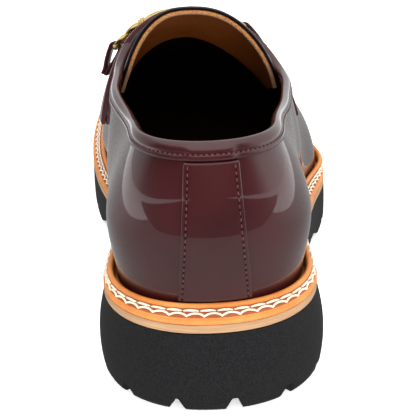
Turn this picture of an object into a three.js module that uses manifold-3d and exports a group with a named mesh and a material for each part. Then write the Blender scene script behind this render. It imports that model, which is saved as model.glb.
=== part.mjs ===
// Horsebit loafer for the right foot, standing empty on its lug sole.
// Millimetres, +Z up, +Y toward the toe, +X toward the outer side of the foot.
import * as THREE from "three";
import { mergeVertices } from "three/addons/utils/BufferGeometryUtils.js";
import Module from "manifold-3d";

const wasm = await Module();
wasm.setup();

// Places along the foot, measured from the back edge of the welt
const SOLE_LENGTH = 305;
const HEEL_CENTRE = 42;
const BALL = 206;
const TOE_CENTRE = 250;
const SWING_FROM = 108;
const SWING = -12;

// Layers of the bottom
const HEEL_HEIGHT = 32;
const FOREFOOT_HEIGHT = 17.5;
const TOE_SPRING = 14;
const MIDSOLE = 3.6;
const WELT = 3.4;
const WELT_REACH = 7.2;
const WELT_EDGE = 1.9;
const BEAD_HEIGHT = 2.6;
const BEAD_FOOT = 1.2;
const FLARE = 2.7;
const FRONT_FLARE = 0.1;
const HEEL_BREAST = 82;
const ARCH_SLANT = 0.25;

// Lugs: notches along the edge, a sunk middle and blocks in it
const LUG_DEPTH = 6.2;
const NOTCH_PITCH = 20.8;
const NOTCH_START = 6.5;
const NOTCH_TOP = 3.6;
const NOTCH_FOOT = 6.4;
const NOTCH_REACH = 11;
const EDGE_LUG = 15;
const BLOCK = { length: 11, bevel: 3 };
const BLOCK_PLACES = [
  { y: 30, width: 22 },
  { y: 46, width: 26 },
  { y: 62, width: 26 },
  { y: 180, width: 40 },
  { y: 197, width: 44 },
];

// Leather
const WALL = 2;
const GAP = 0.3;
const BAND = 1.1;
const STRIP = 1.2;
const STRIP_TOP = 8.7;
const STRIP_FOOT = 13.6;
const STRIP_CENTRE = 0.8;
const SADDLE = 1.8;
const TONGUE = 2.6;
const INSOLE_ABOVE = 2.4;
const TUCK_HEIGHT = 30;
const BACK_SQUARE = 2.8;
const BACK_TUCK = 4;
const SEAM_HEIGHT = 1.5;
const INNER_RISE = 3.5;

// Horsebit, lengths along its curve from the middle of the bar, which sits inward of the crown
const BIT_PLACE = 160;
const BIT_LIFT = 5.2;
const BIT_RISE = 2.4;
const BIT_SHIFT = -3.75;
const BIT_END = 33.75;
const RING = { length: 9.4, width: 13, wire: 2.3, bevel: 0.75 };
const LOOP = { width: 7, leather: 1.4, tail: 13 };

// Sections of the upper: half widths at the feather edge on the inner (medial) and outer
// (lateral) side, how far the flank swells past them, how far the welt stands out, height of
// the crown above the floor, sideways place of the crown, and how square the arch is on each side
const SECTIONS = [
  {
    y: 42, medial: 36, lateral: 36.6, tuckIn: 5.6, tuckOut: 6.4, weltIn: 4.6, weltOut: 4.6,
    crown: 117, ridge: 0, squareIn: 1.8, squareOut: 1.8,
  },
  {
    y: 68, medial: 33.4, lateral: 36.4, tuckIn: 7, tuckOut: 5, weltIn: 5, weltOut: 5,
    crown: 121, ridge: 0, squareIn: 1.95, squareOut: 1.98,
  },
  {
    y: 98, medial: 28.8, lateral: 38.2, tuckIn: 11, tuckOut: 2.8, weltIn: 6.4, weltOut: 6.4,
    crown: 126, ridge: -1, squareIn: 2.6, squareOut: 2.65,
  },
  {
    y: 118, medial: 29, lateral: 42, tuckIn: 10.4, tuckOut: 4.4, weltIn: 7.2, weltOut: 7.2,
    crown: 123.5, ridge: -3, squareIn: 2.4, squareOut: 2.4,
  },
  {
    y: 142, medial: 33, lateral: 47.8, tuckIn: 11, tuckOut: 0.6, weltIn: 7.2, weltOut: 7.2,
    crown: 113.2, ridge: -2, squareIn: 2.28, squareOut: 2.15,
  },
  {
    y: 160, medial: 36.8, lateral: 54.2, tuckIn: 8.4, tuckOut: 0.8, weltIn: 7.2, weltOut: 6.4,
    crown: 104, ridge: -2, squareIn: 2.2, squareOut: 1.75,
  },
  {
    y: 178, medial: 40, lateral: 61, tuckIn: 5, tuckOut: 1.4, weltIn: 7.2, weltOut: 3.4,
    crown: 92.5, ridge: -1.5, squareIn: 2.25, squareOut: 1.6,
  },
  {
    y: 206, medial: 42.2, lateral: 59.8, tuckIn: 2, tuckOut: 1.6, weltIn: 7.2, weltOut: 4.6,
    crown: 77, ridge: -1, squareIn: 2.4, squareOut: 2,
  },
  {
    y: 234, medial: 41, lateral: 57.6, tuckIn: 1.6, tuckOut: 1.6, weltIn: 7.2, weltOut: 6.6,
    crown: 65, ridge: 0, squareIn: 2.4, squareOut: 2.4,
  },
  {
    y: 250, medial: 38.7, lateral: 54.4, tuckIn: 1.4, tuckOut: 1.4, weltIn: 7.2, weltOut: 7.2,
    crown: 62, ridge: 0, squareIn: 2.4, squareOut: 2.4,
  },
];

// Top line of the quarters with the drop of its band, and the throat, seen from the side;
// ahead of the heel the inner side stands higher
const TOP_LINE = [
  { y: -30, z: 100.6, band: 5.6 },
  { y: 12, z: 100, band: 5.6 },
  { y: 42, z: 97.4, band: 4.4 },
  { y: 68, z: 93.2, band: 4.6 },
  { y: 98, z: 90.4, band: 6 },
  { y: 118, z: 90, band: 6.2 },
];
const THROAT = [
  { y: 128, z: 91.5 },
  { y: 135.5, z: 97 },
  { y: 140.5, z: 106 },
  { y: 144, z: 120 },
];

// Underside: flat heel, breast, arch and flat forefoot; the arch reaches further forward on
// the inner side of the foot
const ARCH = [
  { y: -40, z: 0 },
  { y: HEEL_BREAST, z: 0 },
  { y: HEEL_BREAST + 4, z: 9 },
  { y: 106, z: 11 },
  { y: 130, z: 10 },
  { y: 148, z: 6.5 },
  { y: 163, z: 0 },
  { y: 500, z: 0 },
];

// Stations of the sections along the middle line, and steps round heel and toe
const STATIONS = [42, 54, 68, 82, 86, 98, 112, 126, 139, 152, 165, 179, 193, 206, 220, 235, 250];
const FAN_STEPS = 8;

// Smooth curve through one column of a table
function column(rows, key) {
  const n = rows.length;
  const bend = new Array(n).fill(0);
  const ratio = new Array(n).fill(0);
  for (let i = 1; i < n - 1; i++) {
    const before = rows[i].y - rows[i - 1].y;
    const after = rows[i + 1].y - rows[i].y;
    const rise = (rows[i + 1][key] - rows[i][key]) / after;
    const run = (rows[i][key] - rows[i - 1][key]) / before;
    const share = 2 * (before + after) - before * ratio[i - 1];
    ratio[i] = after / share;
    bend[i] = (6 * (rise - run) - before * bend[i - 1]) / share;
  }
  for (let i = n - 2; i > 0; i--) {
    bend[i] -= ratio[i] * bend[i + 1];
  }
  return (at) => {
    const y = THREE.MathUtils.clamp(at, rows[0].y, rows[n - 1].y);
    let i = 0;
    while (i < n - 2 && y > rows[i + 1].y) {
      i++;
    }
    const h = rows[i + 1].y - rows[i].y;
    const a = (rows[i + 1].y - y) / h;
    const b = 1 - a;
    const curl = (a ** 3 - a) * bend[i] + (b ** 3 - b) * bend[i + 1];
    return a * rows[i][key] + b * rows[i + 1][key] + (curl * h * h) / 6;
  };
}

// Straight lines between the rows of a table
function steps(rows, at) {
  let i = 0;
  while (i < rows.length - 2 && at > rows[i + 1].y) {
    i++;
  }
  const t = (at - rows[i].y) / (rows[i + 1].y - rows[i].y);
  return rows[i].z + t * (rows[i + 1].z - rows[i].z);
}

const section = {};
for (const key of Object.keys(SECTIONS[0]).filter((name) => name !== "y")) {
  section[key] = column(SECTIONS, key);
}
const topLine = column(TOP_LINE, "z");
const bandDrop = column(TOP_LINE, "band");

const ease = (t) => THREE.MathUtils.smoothstep(t, 0, 1);
const swing = (y) => SWING * Math.max((y - SWING_FROM) / (SOLE_LENGTH - SWING_FROM), 0) ** 2;

function soleTop(y) {
  const drop = (FOREFOOT_HEIGHT - HEEL_HEIGHT) * ease((y - 48) / 124);
  return HEEL_HEIGHT + drop + TOE_SPRING * Math.max((y - 200) / (SOLE_LENGTH - 200), 0) ** 2;
}

function soleFoot(y, x = 0) {
  const turned = y + ARCH_SLANT * x * ease((y - 100) / 30);
  return steps(ARCH, turned) + TOE_SPRING * Math.max((y - 212) / (SOLE_LENGTH - 212), 0) ** 2;
}

const feather = (y) => soleTop(y) + MIDSOLE + WELT;

// Rounded end of the outline: distance along a direction to a squared ellipse
function roundEnd(half, long, power, dx, dy) {
  return (Math.abs(dx / half) ** power + Math.abs(dy / long) ** power) ** (-1 / power);
}

// Distance from the toe's centre to the feather edge, by halving
function toeReach(half, dx, dy) {
  const long = SOLE_LENGTH - WELT_REACH - BALL;
  let near = 0;
  let far = 120;
  for (let i = 0; i < 40; i++) {
    const mid = (near + far) / 2;
    const inside = (Math.abs(dx * mid) / half) ** 2.3 + ((TOE_CENTRE - BALL + dy * mid) / long) ** 2.3 < 1;
    if (inside) {
      near = mid;
    } else {
      far = mid;
    }
  }
  return near;
}

// Half width of the feather edge beside a place on the middle line
function halfWidth(side, y) {
  if (y <= BALL) {
    return section[side](y);
  }
  const long = SOLE_LENGTH - WELT_REACH - BALL;
  return section[side](BALL) * (1 - ((y - BALL) / long) ** 2.3) ** (1 / 2.3);
}

// One direction outward from the middle line: where it starts, where it points, how far the
// feather edge lies along it, and the shape of the upper and welt there
function ray(foot, angle) {
  const dx = Math.cos(angle);
  const dy = Math.sin(angle);
  const side = dx >= 0 ? "lateral" : "medial";
  const tuckSide = section[dx >= 0 ? "tuckOut" : "tuckIn"](foot);
  const squareSide = section[dx >= 0 ? "squareOut" : "squareIn"](foot);
  const weltSide = section[dx >= 0 ? "weltOut" : "weltIn"](foot);
  const turn = dy * dy;
  if (foot === HEEL_CENTRE && dy < 0) {
    const reach = roundEnd(section[side](foot), HEEL_CENTRE - WELT_REACH, 2.25, dx, dy);
    const tuck = tuckSide + (BACK_TUCK - tuckSide) * turn;
    const square = squareSide + (BACK_SQUARE - squareSide) * turn;
    const welt = weltSide + (WELT_REACH - weltSide) * turn;
    return { foot, dx, dy, reach, tuck, square, welt };
  }
  const atToe = foot === TOE_CENTRE && dy > 0;
  const reach = atToe ? toeReach(section[side](BALL), dx, dy) : halfWidth(side, foot);
  return { foot, dx, dy, reach, tuck: tuckSide, square: squareSide, welt: weltSide };
}

// All directions round the shoe, anticlockwise from the back
const RAYS = [];
for (let i = -FAN_STEPS; i < 0; i++) {
  RAYS.push(ray(HEEL_CENTRE, (i / FAN_STEPS) * (Math.PI / 2)));
}
for (const y of STATIONS) {
  RAYS.push(ray(y, 0));
}
for (let i = 1; i < 2 * FAN_STEPS; i++) {
  RAYS.push(ray(TOE_CENTRE, (i / FAN_STEPS) * (Math.PI / 2)));
}
for (const y of [...STATIONS].reverse()) {
  RAYS.push(ray(y, Math.PI));
}
for (let i = 1; i < FAN_STEPS; i++) {
  RAYS.push(ray(HEEL_CENTRE, Math.PI + (i / FAN_STEPS) * (Math.PI / 2)));
}

// Point at a distance along a ray; the height follows the place when given as a function
function place(r, distance, height, lean = 0) {
  const y = r.foot + r.dy * distance;
  const x = r.dx * distance;
  const z = typeof height === "function" ? height(y, x) : height;
  return new THREE.Vector3(x + lean + swing(y), y, z);
}

// Joins one row of points per ray into a closed skin; a ring closes each row on itself
function skin(rows, ring) {
  const points = rows.flat();
  const count = rows[0].length;
  const index = [];
  for (let i = 0; i < rows.length; i++) {
    const next = (i + 1) % rows.length;
    for (let j = 0; j < (ring ? count : count - 1); j++) {
      const up = (j + 1) % count;
      const a = i * count + j;
      const b = next * count + j;
      const c = next * count + up;
      const d = i * count + up;
      index.push(a, b, c, a, c, d);
    }
  }
  const geometry = new THREE.BufferGeometry().setFromPoints(points);
  geometry.setIndex(index);
  return welded(geometry);
}

// Shares equal points and drops triangles that have closed up
function welded(geometry) {
  const bare = new THREE.BufferGeometry();
  bare.setAttribute("position", geometry.getAttribute("position"));
  bare.setIndex(geometry.getIndex());
  const shared = mergeVertices(bare, 1e-4);
  const old = shared.getIndex().array;
  const kept = [];
  for (let i = 0; i < old.length; i += 3) {
    const [a, b, c] = [old[i], old[i + 1], old[i + 2]];
    if (a !== b && b !== c && c !== a) {
      kept.push(a, b, c);
    }
  }
  shared.setIndex(kept);
  return shared;
}

function solid(geometry) {
  const shared = welded(geometry);
  const vertProperties = new Float32Array(shared.getAttribute("position").array);
  const triVerts = new Uint32Array(shared.getIndex().array);
  return new wasm.Manifold(new wasm.Mesh({ numProp: 3, vertProperties, triVerts }));
}

// Shape of the upper above one ray, from below the feather edge up to the crown
const LOW_ROWS = [0, 0.1, 0.21, 0.34, 0.48, 0.61, 0.73];
const HIGH_ROWS = [0.93, 0.88, 0.83, 0.6, 0.32, 0];
const SEAM_ROW = 0.88;

function arch(r, share, byWidth) {
  const base = feather(r.foot + r.dy * r.reach);
  const tall = section.crown(r.foot) - base;
  const low = LOW_ROWS[LOW_ROWS.length - 1];
  const shoulder = (1 - low ** r.square) ** (1 / r.square);
  const wide = byWidth ? shoulder * share : (1 - share ** r.square) ** (1 / r.square);
  const high = byWidth ? (1 - wide ** r.square) ** (1 / r.square) : share;
  const swell = r.tuck * ease((high * tall) / TUCK_HEIGHT);
  const lean = section.ridge(r.foot) * high ** 1.5;
  return place(r, (r.reach + swell) * wide, base + high * tall, lean);
}

function formRow(r) {
  const base = feather(r.foot + r.dy * r.reach);
  const row = [place(r, 0, feather(r.foot) - 10), place(r, r.reach, base - 10)];
  for (const share of LOW_ROWS) {
    row.push(arch(r, share, false));
  }
  for (const share of HIGH_ROWS) {
    row.push(arch(r, share, true));
  }
  return row;
}

// The last: the upper's outer surface moved outward by an amount, with the apron seam raised
const lastSkin = skin(RAYS.map(formRow), false);
lastSkin.computeVertexNormals();
const seamPoints = RAYS.map((r) => {
  const along = r.foot + (r.dy > 0 ? 40 * r.dy : 0);
  return { point: arch(r, SEAM_ROW, true), lift: SEAM_HEIGHT * ease((along - 172) / 12) };
});

function form(offset) {
  const grown = lastSkin.clone();
  const at = grown.getAttribute("position");
  const normal = grown.getAttribute("normal");
  const p = new THREE.Vector3();
  const n = new THREE.Vector3();
  for (let i = 0; i < at.count; i++) {
    p.fromBufferAttribute(at, i);
    n.fromBufferAttribute(normal, i);
    const seam = seamPoints.find((s) => s.point.distanceTo(p) < 0.01);
    p.addScaledVector(n, offset + (seam ? seam.lift : 0));
    at.setXYZ(i, p.x, p.y, p.z);
  }
  return solid(grown);
}

// A flat outline drawn from the side (y, z) and carried across the shoe in x
function sideBlock(points, from, to) {
  const shape = new THREE.Shape(points.map((p) => new THREE.Vector2(p.y, p.z)));
  const geometry = new THREE.ExtrudeGeometry(shape, { depth: to - from, bevelEnabled: false });
  const turn = new THREE.Matrix4().makeBasis(
    new THREE.Vector3(0, 1, 0),
    new THREE.Vector3(0, 0, 1),
    new THREE.Vector3(1, 0, 0),
  );
  geometry.applyMatrix4(turn.setPosition(from, 0, 0));
  return solid(geometry);
}

function span(from, to, count) {
  return Array.from({ length: count + 1 }, (_, i) => from + ((to - from) * i) / count);
}

// Everything below the upper's foot, and everything above its top line
const deckLine = span(-25, 325, 35).map((y) => ({ y, z: feather(y) + GAP }));
const deck = sideBlock([{ y: -25, z: -40 }, { y: 325, z: -40 }, ...deckLine.reverse()], -100, 100);

// The two halves of a cut whose outline differs between the inner and the outer side
function bothSides(outline) {
  return sideBlock(outline(-1), -100, 0).add(sideBlock(outline(1), 0, 100));
}

const innerRise = (y, side) => (side < 0 ? INNER_RISE * (ease((y - 50) / 45) - ease((y - 118) / 29)) : 0);
const topRows = (side) => span(-25, 118, 15).map((y) => ({ y, z: topLine(y) + innerRise(y, side) }));
const throatRows = (side) => THROAT.map((p) => ({ y: p.y, z: p.z + innerRise(p.y, side) }));
const collarCut = bothSides((side) => [
  ...topRows(side),
  ...throatRows(side),
  { y: THROAT[THROAT.length - 1].y, z: 190 },
  { y: -25, z: 190 },
]);

const upper = form(0).subtract(form(-WALL)).subtract(deck).subtract(collarCut);

// Tongue, inside the upper: its rear edge stands above the collar with rounded corners, its
// front runs under the vamp
const tongueSide = [
  { y: 130, z: 82 },
  { y: 172, z: 70 },
  { y: 172, z: 140 },
  { y: 118, z: 140 },
  { y: 118, z: 101 },
  { y: 119.5, z: 95.5 },
  { y: 123.5, z: 90 },
];
const tongueShell = form(-WALL - GAP).subtract(form(-WALL - GAP - TONGUE));
const tongue = tongueShell.intersect(sideBlock(tongueSide, -100, 100));

// Saddle strap over the vamp
const saddleSide = [
  { y: 137, z: 64 },
  { y: 165, z: 60 },
  { y: 168, z: 80 },
  { y: 174, z: 130 },
  { y: 146, z: 130 },
  { y: 138.5, z: 80 },
];
const saddleShell = form(GAP + SADDLE).subtract(form(GAP));
const saddle = saddleShell.intersect(sideBlock(saddleSide, -100, 100));

// Collar band along the top line, up to the saddle's rear edge
const lowered = (rows, by) => rows.map((p) => ({ y: p.y, z: p.z - bandDrop(p.y) - by }));
const bandSide = (side) => [
  ...topRows(side),
  ...throatRows(side).slice(0, 2),
  { y: 138, z: 100.4 },
  { y: 138, z: 88 },
  ...lowered(topRows(side), 0).reverse(),
];
const bandShell = form(GAP + BAND).subtract(form(GAP));
const collarBand = bandShell.intersect(bothSides(bandSide));

// Back strip, wider toward the sole
const stripOutline = new THREE.Shape([
  new THREE.Vector2(STRIP_CENTRE - STRIP_FOOT, 38),
  new THREE.Vector2(STRIP_CENTRE + STRIP_FOOT, 38),
  new THREE.Vector2(STRIP_CENTRE + STRIP_TOP, 104),
  new THREE.Vector2(STRIP_CENTRE - STRIP_TOP, 104),
]);
const stripBlock = new THREE.ExtrudeGeometry(stripOutline, { depth: 60, bevelEnabled: false });
stripBlock.rotateX(Math.PI / 2);
stripBlock.translate(0, 35, 0);
const bandLine = lowered(topRows(1), GAP);
const stripTop = sideBlock([...bandLine, { y: 118, z: 190 }, { y: -25, z: 190 }], -100, 100);
const beadTop = span(-25, 60, 4).map((y) => ({ y, z: feather(y) + BEAD_HEIGHT + GAP }));
const stripFoot = sideBlock([{ y: -25, z: -40 }, { y: 60, z: -40 }, ...beadTop.reverse()], -100, 100);
const stripShell = form(GAP + STRIP).subtract(form(GAP));
const backStrip = stripShell.intersect(solid(stripBlock)).subtract(stripTop).subtract(stripFoot);

// Layers that follow the outline: each row runs from the middle of the foot to the middle of the top
function layer(reach, foot, top) {
  return skin(
    RAYS.map((r) => {
      const edge = reach(r);
      const inner = Math.min(r.reach - WALL, edge - 0.5);
      return [
        place(r, 0, foot),
        place(r, inner, foot),
        place(r, edge, foot),
        place(r, edge, top),
        place(r, inner, top),
        place(r, 0, top),
      ];
    }),
    false,
  );
}

const midsole = solid(
  layer(
    (r) => r.reach + r.welt,
    (y) => soleTop(y) + GAP,
    (y) => soleTop(y) + MIDSOLE,
  ),
);
const insole = solid(
  layer(
    (r) => r.reach - WALL - 0.5,
    (y) => soleTop(y) + MIDSOLE + GAP,
    (y) => feather(y) + INSOLE_ABOVE,
  ),
);

// Welt: upright edge, sloping face and raised bead, as a ring
const weltProfile = [
  { out: -WALL, edge: 0, up: GAP },
  { out: 0, edge: 1, up: GAP },
  { out: 0, edge: 1, up: WELT_EDGE - 0.4 },
  { out: -0.4, edge: 1, up: WELT_EDGE },
  { out: 2.9, edge: 0, up: WELT + BEAD_FOOT },
  { out: 2.5, edge: 0, up: WELT + BEAD_HEIGHT - 0.6 },
  { out: 1.8, edge: 0, up: WELT + BEAD_HEIGHT },
  { out: 1, edge: 0, up: WELT + BEAD_HEIGHT - 0.2 },
  { out: 0.6, edge: 0, up: WELT },
  { out: -WALL, edge: 0, up: WELT },
];
const weltRows = RAYS.map((r) =>
  weltProfile.map((p) => {
    const distance = r.reach + p.out + p.edge * r.welt;
    return place(r, distance, (y) => soleTop(y) + MIDSOLE + p.up);
  }),
);
const welt = solid(skin(weltRows, true));

// Outsole body with a side wall that swells at the heel and less ahead of it, drawn in at its foot
const bodyRows = RAYS.map((r) => {
  const edge = r.reach + r.welt;
  const flare = FLARE * (1 - (1 - FRONT_FLARE) * ease((r.foot - 60) / 60));
  const wall = (share) => (y, x) => soleFoot(y, x) + share * (soleTop(y) - soleFoot(y, x));
  return [
    place(r, 0, soleFoot),
    place(r, edge - 0.8, soleFoot),
    place(r, edge + flare * 0.7, wall(0.13)),
    place(r, edge + flare, wall(0.36)),
    place(r, edge + flare * 0.75, wall(0.72)),
    place(r, edge, soleTop),
    place(r, r.reach - WALL, soleTop),
    place(r, 0, soleTop),
  ];
});
let outsole = solid(skin(bodyRows, false));

// Sunk middle of the tread
const sunkRows = RAYS.map((r) => {
  const edge = Math.max(r.reach + r.welt - EDGE_LUG, 4);
  const under = (y, x) => soleFoot(y, x) - 3;
  const roof = (y, x) => soleFoot(y, x) + LUG_DEPTH - 1;
  return [place(r, 0, under), place(r, edge, under), place(r, edge, roof), place(r, 0, roof)];
});
outsole = outsole.subtract(solid(skin(sunkRows, false)));

// Notches between the lugs, stepped evenly round the edge of the sole
const edgeCurve = new THREE.CatmullRomCurve3(
  RAYS.map((r) => place(r, r.reach + r.welt, soleFoot)),
  true,
);
edgeCurve.arcLengthDivisions = 800;
const edgeLength = edgeCurve.getLength();
const notchCount = Math.floor(edgeLength / NOTCH_PITCH);
const notchShape = new THREE.Shape();
notchShape.moveTo(-NOTCH_FOOT / 2 - 0.8, -4);
notchShape.lineTo(NOTCH_FOOT / 2 + 0.8, -4);
notchShape.lineTo(NOTCH_FOOT / 2, 0.6);
notchShape.lineTo(NOTCH_TOP / 2, LUG_DEPTH - 1.1);
notchShape.lineTo(NOTCH_TOP / 5, LUG_DEPTH);
notchShape.lineTo(-NOTCH_TOP / 5, LUG_DEPTH);
notchShape.lineTo(-NOTCH_TOP / 2, LUG_DEPTH - 1.1);
notchShape.lineTo(-NOTCH_FOOT / 2, 0.6);
for (let i = 0; i < notchCount; i++) {
  const share = ((NOTCH_START + (i * edgeLength) / notchCount) / edgeLength) % 1;
  const at = edgeCurve.getPointAt(share);
  const inArch = at.y > HEEL_BREAST - 6 && at.y + ARCH_SLANT * at.x < 168;
  if (!inArch) {
    const along = edgeCurve.getTangentAt(share);
    const notch = new THREE.ExtrudeGeometry(notchShape, { depth: NOTCH_REACH + 6, bevelEnabled: false });
    const inward = new THREE.Vector3(-along.y, along.x, 0).normalize();
    const upward = new THREE.Vector3(0, 0, 1);
    const across = new THREE.Vector3().crossVectors(upward, inward);
    const turn = new THREE.Matrix4().makeBasis(across, upward, inward);
    turn.setPosition(at.clone().addScaledVector(inward, -6));
    notch.applyMatrix4(turn);
    outsole = outsole.subtract(solid(notch));
  }
}

// Blocks standing in the sunk middle
function blockShape(width) {
  const w = width / 2;
  const l = BLOCK.length / 2;
  const b = BLOCK.bevel;
  const corners = [
    [-w + b, -l],
    [w - b, -l],
    [w, -l + b],
    [w, l - b],
    [w - b, l],
    [-w + b, l],
    [-w, l - b],
    [-w, -l + b],
  ];
  return new THREE.Shape(corners.map(([x, y]) => new THREE.Vector2(x, y)));
}
for (const { y, width } of BLOCK_PLACES) {
  const block = new THREE.ExtrudeGeometry(blockShape(width), { depth: LUG_DEPTH, bevelEnabled: false });
  const middle = (halfWidth("lateral", y) - halfWidth("medial", y)) / 2 + swing(y);
  block.translate(middle, y, 0);
  outsole = outsole.add(solid(block));
}

// Curve over the vamp across a place on the foot, lifted off the leather and more so at its ends
function crossLine(y, lift, rise) {
  const points = [];
  for (const r of [ray(y, Math.PI), ray(y, 0)]) {
    const half = [];
    for (const share of span(0.42, 0.7, 5)) {
      half.push(arch(r, share, false));
    }
    for (const share of span(0.95, 0.1, 10)) {
      half.push(arch(r, share, true));
    }
    points.push(...(r.dx < 0 ? half : half.reverse()));
  }
  const bare = new THREE.CatmullRomCurve3(points);
  const lifted = span(0, 1, 40).map((t) => {
    const along = bare.getTangentAt(t);
    const out = new THREE.Vector3(-along.z, 0, along.x).normalize();
    const off = lift + rise * (2 * t - 1) ** 2;
    return bare.getPointAt(t).addScaledVector(out, off).setY(y);
  });
  return new THREE.CatmullRomCurve3(lifted);
}

const bitCurve = crossLine(BIT_PLACE, BIT_LIFT, BIT_RISE);
const bitBehind = crossLine(BIT_PLACE - 4, BIT_LIFT, BIT_RISE);
const bitAhead = crossLine(BIT_PLACE + 4, BIT_LIFT, BIT_RISE);
const bitLength = bitCurve.getLength();
const topShare = span(0.2, 0.8, 60).reduce((best, t) =>
  bitCurve.getPointAt(t).z > bitCurve.getPointAt(best).z ? t : best,
);

// Frame on the bit's curve at a length from its middle: along it, toward the toe, off the leather
function onBit(length) {
  const share = topShare + (length + BIT_SHIFT) / bitLength;
  const along = bitCurve.getTangentAt(share).setY(0).normalize();
  const slope = bitAhead.getPointAt(share).sub(bitBehind.getPointAt(share));
  const out = new THREE.Vector3().crossVectors(along, slope).normalize();
  const forward = new THREE.Vector3().crossVectors(out, along);
  return { at: bitCurve.getPointAt(share), along, forward, out };
}

// Turned bar: a radius for each length from the middle
const BAR = [
  { s: 25.7, radius: 1.3 },
  { s: 24.3, radius: 1.7 },
  { s: 20.9, radius: 2.1 },
  { s: 17.5, radius: 1.7 },
  { s: 16.9, radius: 2.3 },
  { s: 15.7, radius: 2.5 },
  { s: 14.5, radius: 2.3 },
  { s: 13.9, radius: 1.6 },
  { s: 9, radius: 2 },
  { s: 4.5, radius: 1.7 },
];
const barHalf = BAR.map((b) => ({ s: -b.s, radius: b.radius }));
const barStops = [...barHalf, { s: 0, radius: 1.7 }, ...[...BAR].reverse()];
const BAR_SIDES = 8;
const barRows = Array.from({ length: BAR_SIDES }, (_, k) => {
  const angle = (k / BAR_SIDES) * Math.PI * 2;
  const row = barStops.map((b) => {
    const f = onBit(b.s);
    return f.at
      .clone()
      .addScaledVector(f.forward, b.radius * Math.cos(angle))
      .addScaledVector(f.out, b.radius * Math.sin(angle));
  });
  const first = onBit(barStops[0].s).at.clone();
  const last = onBit(barStops[barStops.length - 1].s).at.clone();
  return [first, ...row, last];
});
let horsebit = solid(skin(barRows, false));

// Rounded rectangle in the plane of the ring
function roundedRing(length, width, corner) {
  const l = length / 2;
  const w = width / 2;
  const path = new THREE.Path();
  path.moveTo(-l + corner, -w);
  path.lineTo(l - corner, -w);
  path.quadraticCurveTo(l, -w, l, -w + corner);
  path.lineTo(l, w - corner);
  path.quadraticCurveTo(l, w, l - corner, w);
  path.lineTo(-l + corner, w);
  path.quadraticCurveTo(-l, w, -l, w - corner);
  path.lineTo(-l, -w + corner);
  path.quadraticCurveTo(-l, -w, -l + corner, -w);
  return path;
}

function ring(side) {
  const slim = RING.bevel;
  const outline = roundedRing(RING.length - 2 * slim, RING.width - 2 * slim, 2.2);
  const shape = new THREE.Shape(outline.getPoints(2));
  const open = RING.wire - slim;
  const hole = roundedRing(RING.length - 2 * open, RING.width - 2 * open, 1.2);
  shape.holes.push(new THREE.Path(hole.getPoints(2)));
  const geometry = new THREE.ExtrudeGeometry(shape, {
    depth: RING.wire - 2 * slim,
    bevelEnabled: true,
    bevelSize: slim,
    bevelThickness: slim,
    bevelSegments: 1,
  });
  geometry.translate(0, 0, slim - RING.wire / 2);
  const f = onBit(side * (BIT_END - RING.length / 2));
  const turn = new THREE.Matrix4().makeBasis(f.along, f.forward, f.out).setPosition(f.at);
  geometry.applyMatrix4(turn);
  return solid(geometry);
}
horsebit = horsebit.add(ring(-1)).add(ring(1));

// Leather loop: wraps the end of a ring, its doubled tail runs down and beds on the saddle
const saddleSkin = form(GAP + SADDLE + GAP);

function loop(side) {
  const f = onBit(side * (BIT_END - RING.length / 2));
  const wire = f.at.clone().addScaledVector(f.along, side * (RING.length - RING.wire) * 0.5);
  const low = crossLine(BIT_PLACE, GAP + SADDLE + LOOP.leather + 0.8, 0);
  const nearest = span(0, 1, 200).reduce((best, t) =>
    low.getPointAt(t).distanceTo(wire) < low.getPointAt(best).distanceTo(wire) ? t : best,
  );
  const end = low.getPointAt(nearest + (side * LOOP.tail) / low.getLength());
  const tail = end.clone().sub(wire);
  const across = f.forward.clone().multiplyScalar(side);
  tail.addScaledVector(across, -tail.dot(across));
  const long = tail.length();
  const hole = RING.wire / 2 + 0.5;
  const outer = hole + LOOP.leather;
  const shape = new THREE.Shape();
  shape.moveTo(long, -LOOP.leather);
  shape.lineTo(long, LOOP.leather);
  shape.lineTo(0, outer);
  shape.absarc(0, 0, outer, Math.PI / 2, (Math.PI * 3) / 2, false);
  const eye = new THREE.Path();
  eye.moveTo(long - 4, 0);
  eye.lineTo(0, -hole);
  eye.absarc(0, 0, hole, (Math.PI * 3) / 2, Math.PI / 2, true);
  shape.holes.push(eye);
  const geometry = new THREE.ExtrudeGeometry(shape, {
    depth: LOOP.width,
    bevelEnabled: false,
    curveSegments: 8,
  });
  geometry.translate(0, 0, -LOOP.width / 2);
  tail.normalize();
  const thick = new THREE.Vector3().crossVectors(across, tail);
  const turn = new THREE.Matrix4().makeBasis(tail, thick, across).setPosition(wire);
  geometry.applyMatrix4(turn);
  return solid(geometry).subtract(saddleSkin);
}

const group = new THREE.Group();
group.name = "horsebit_loafer";

function add(name, body, colour, roughness, metalness) {
  const mesh = body.getMesh();
  const geometry = new THREE.BufferGeometry();
  geometry.setAttribute("position", new THREE.Float32BufferAttribute(mesh.vertProperties, 3));
  geometry.setIndex(new THREE.Uint32BufferAttribute(mesh.triVerts, 1));
  geometry.computeVertexNormals();
  const material = new THREE.MeshStandardMaterial({ color: colour, roughness, metalness });
  const part = new THREE.Mesh(geometry, material);
  part.name = name;
  group.add(part);
}

add("outsole", outsole, 0x1b1b1d, 0.85, 0);
add("midsole", midsole, 0xcda67e, 0.7, 0);
add("welt", welt, 0xc4702c, 0.5, 0);
add("insole", insole, 0x1c1512, 0.8, 0);
add("upper", upper, 0x4a151c, 0.2, 0);
add("tongue", tongue, 0x2a0d12, 0.3, 0);
add("collar_band", collarBand, 0x4a151c, 0.2, 0);
add("back_strip", backStrip, 0x4a151c, 0.2, 0);
add("saddle", saddle, 0x42131a, 0.2, 0);
add("bit_loop_medial", loop(-1), 0x3a1117, 0.3, 0);
add("bit_loop_lateral", loop(1), 0x3a1117, 0.3, 0);
add("horsebit", horsebit, 0xd9ad55, 0.2, 1);

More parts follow.
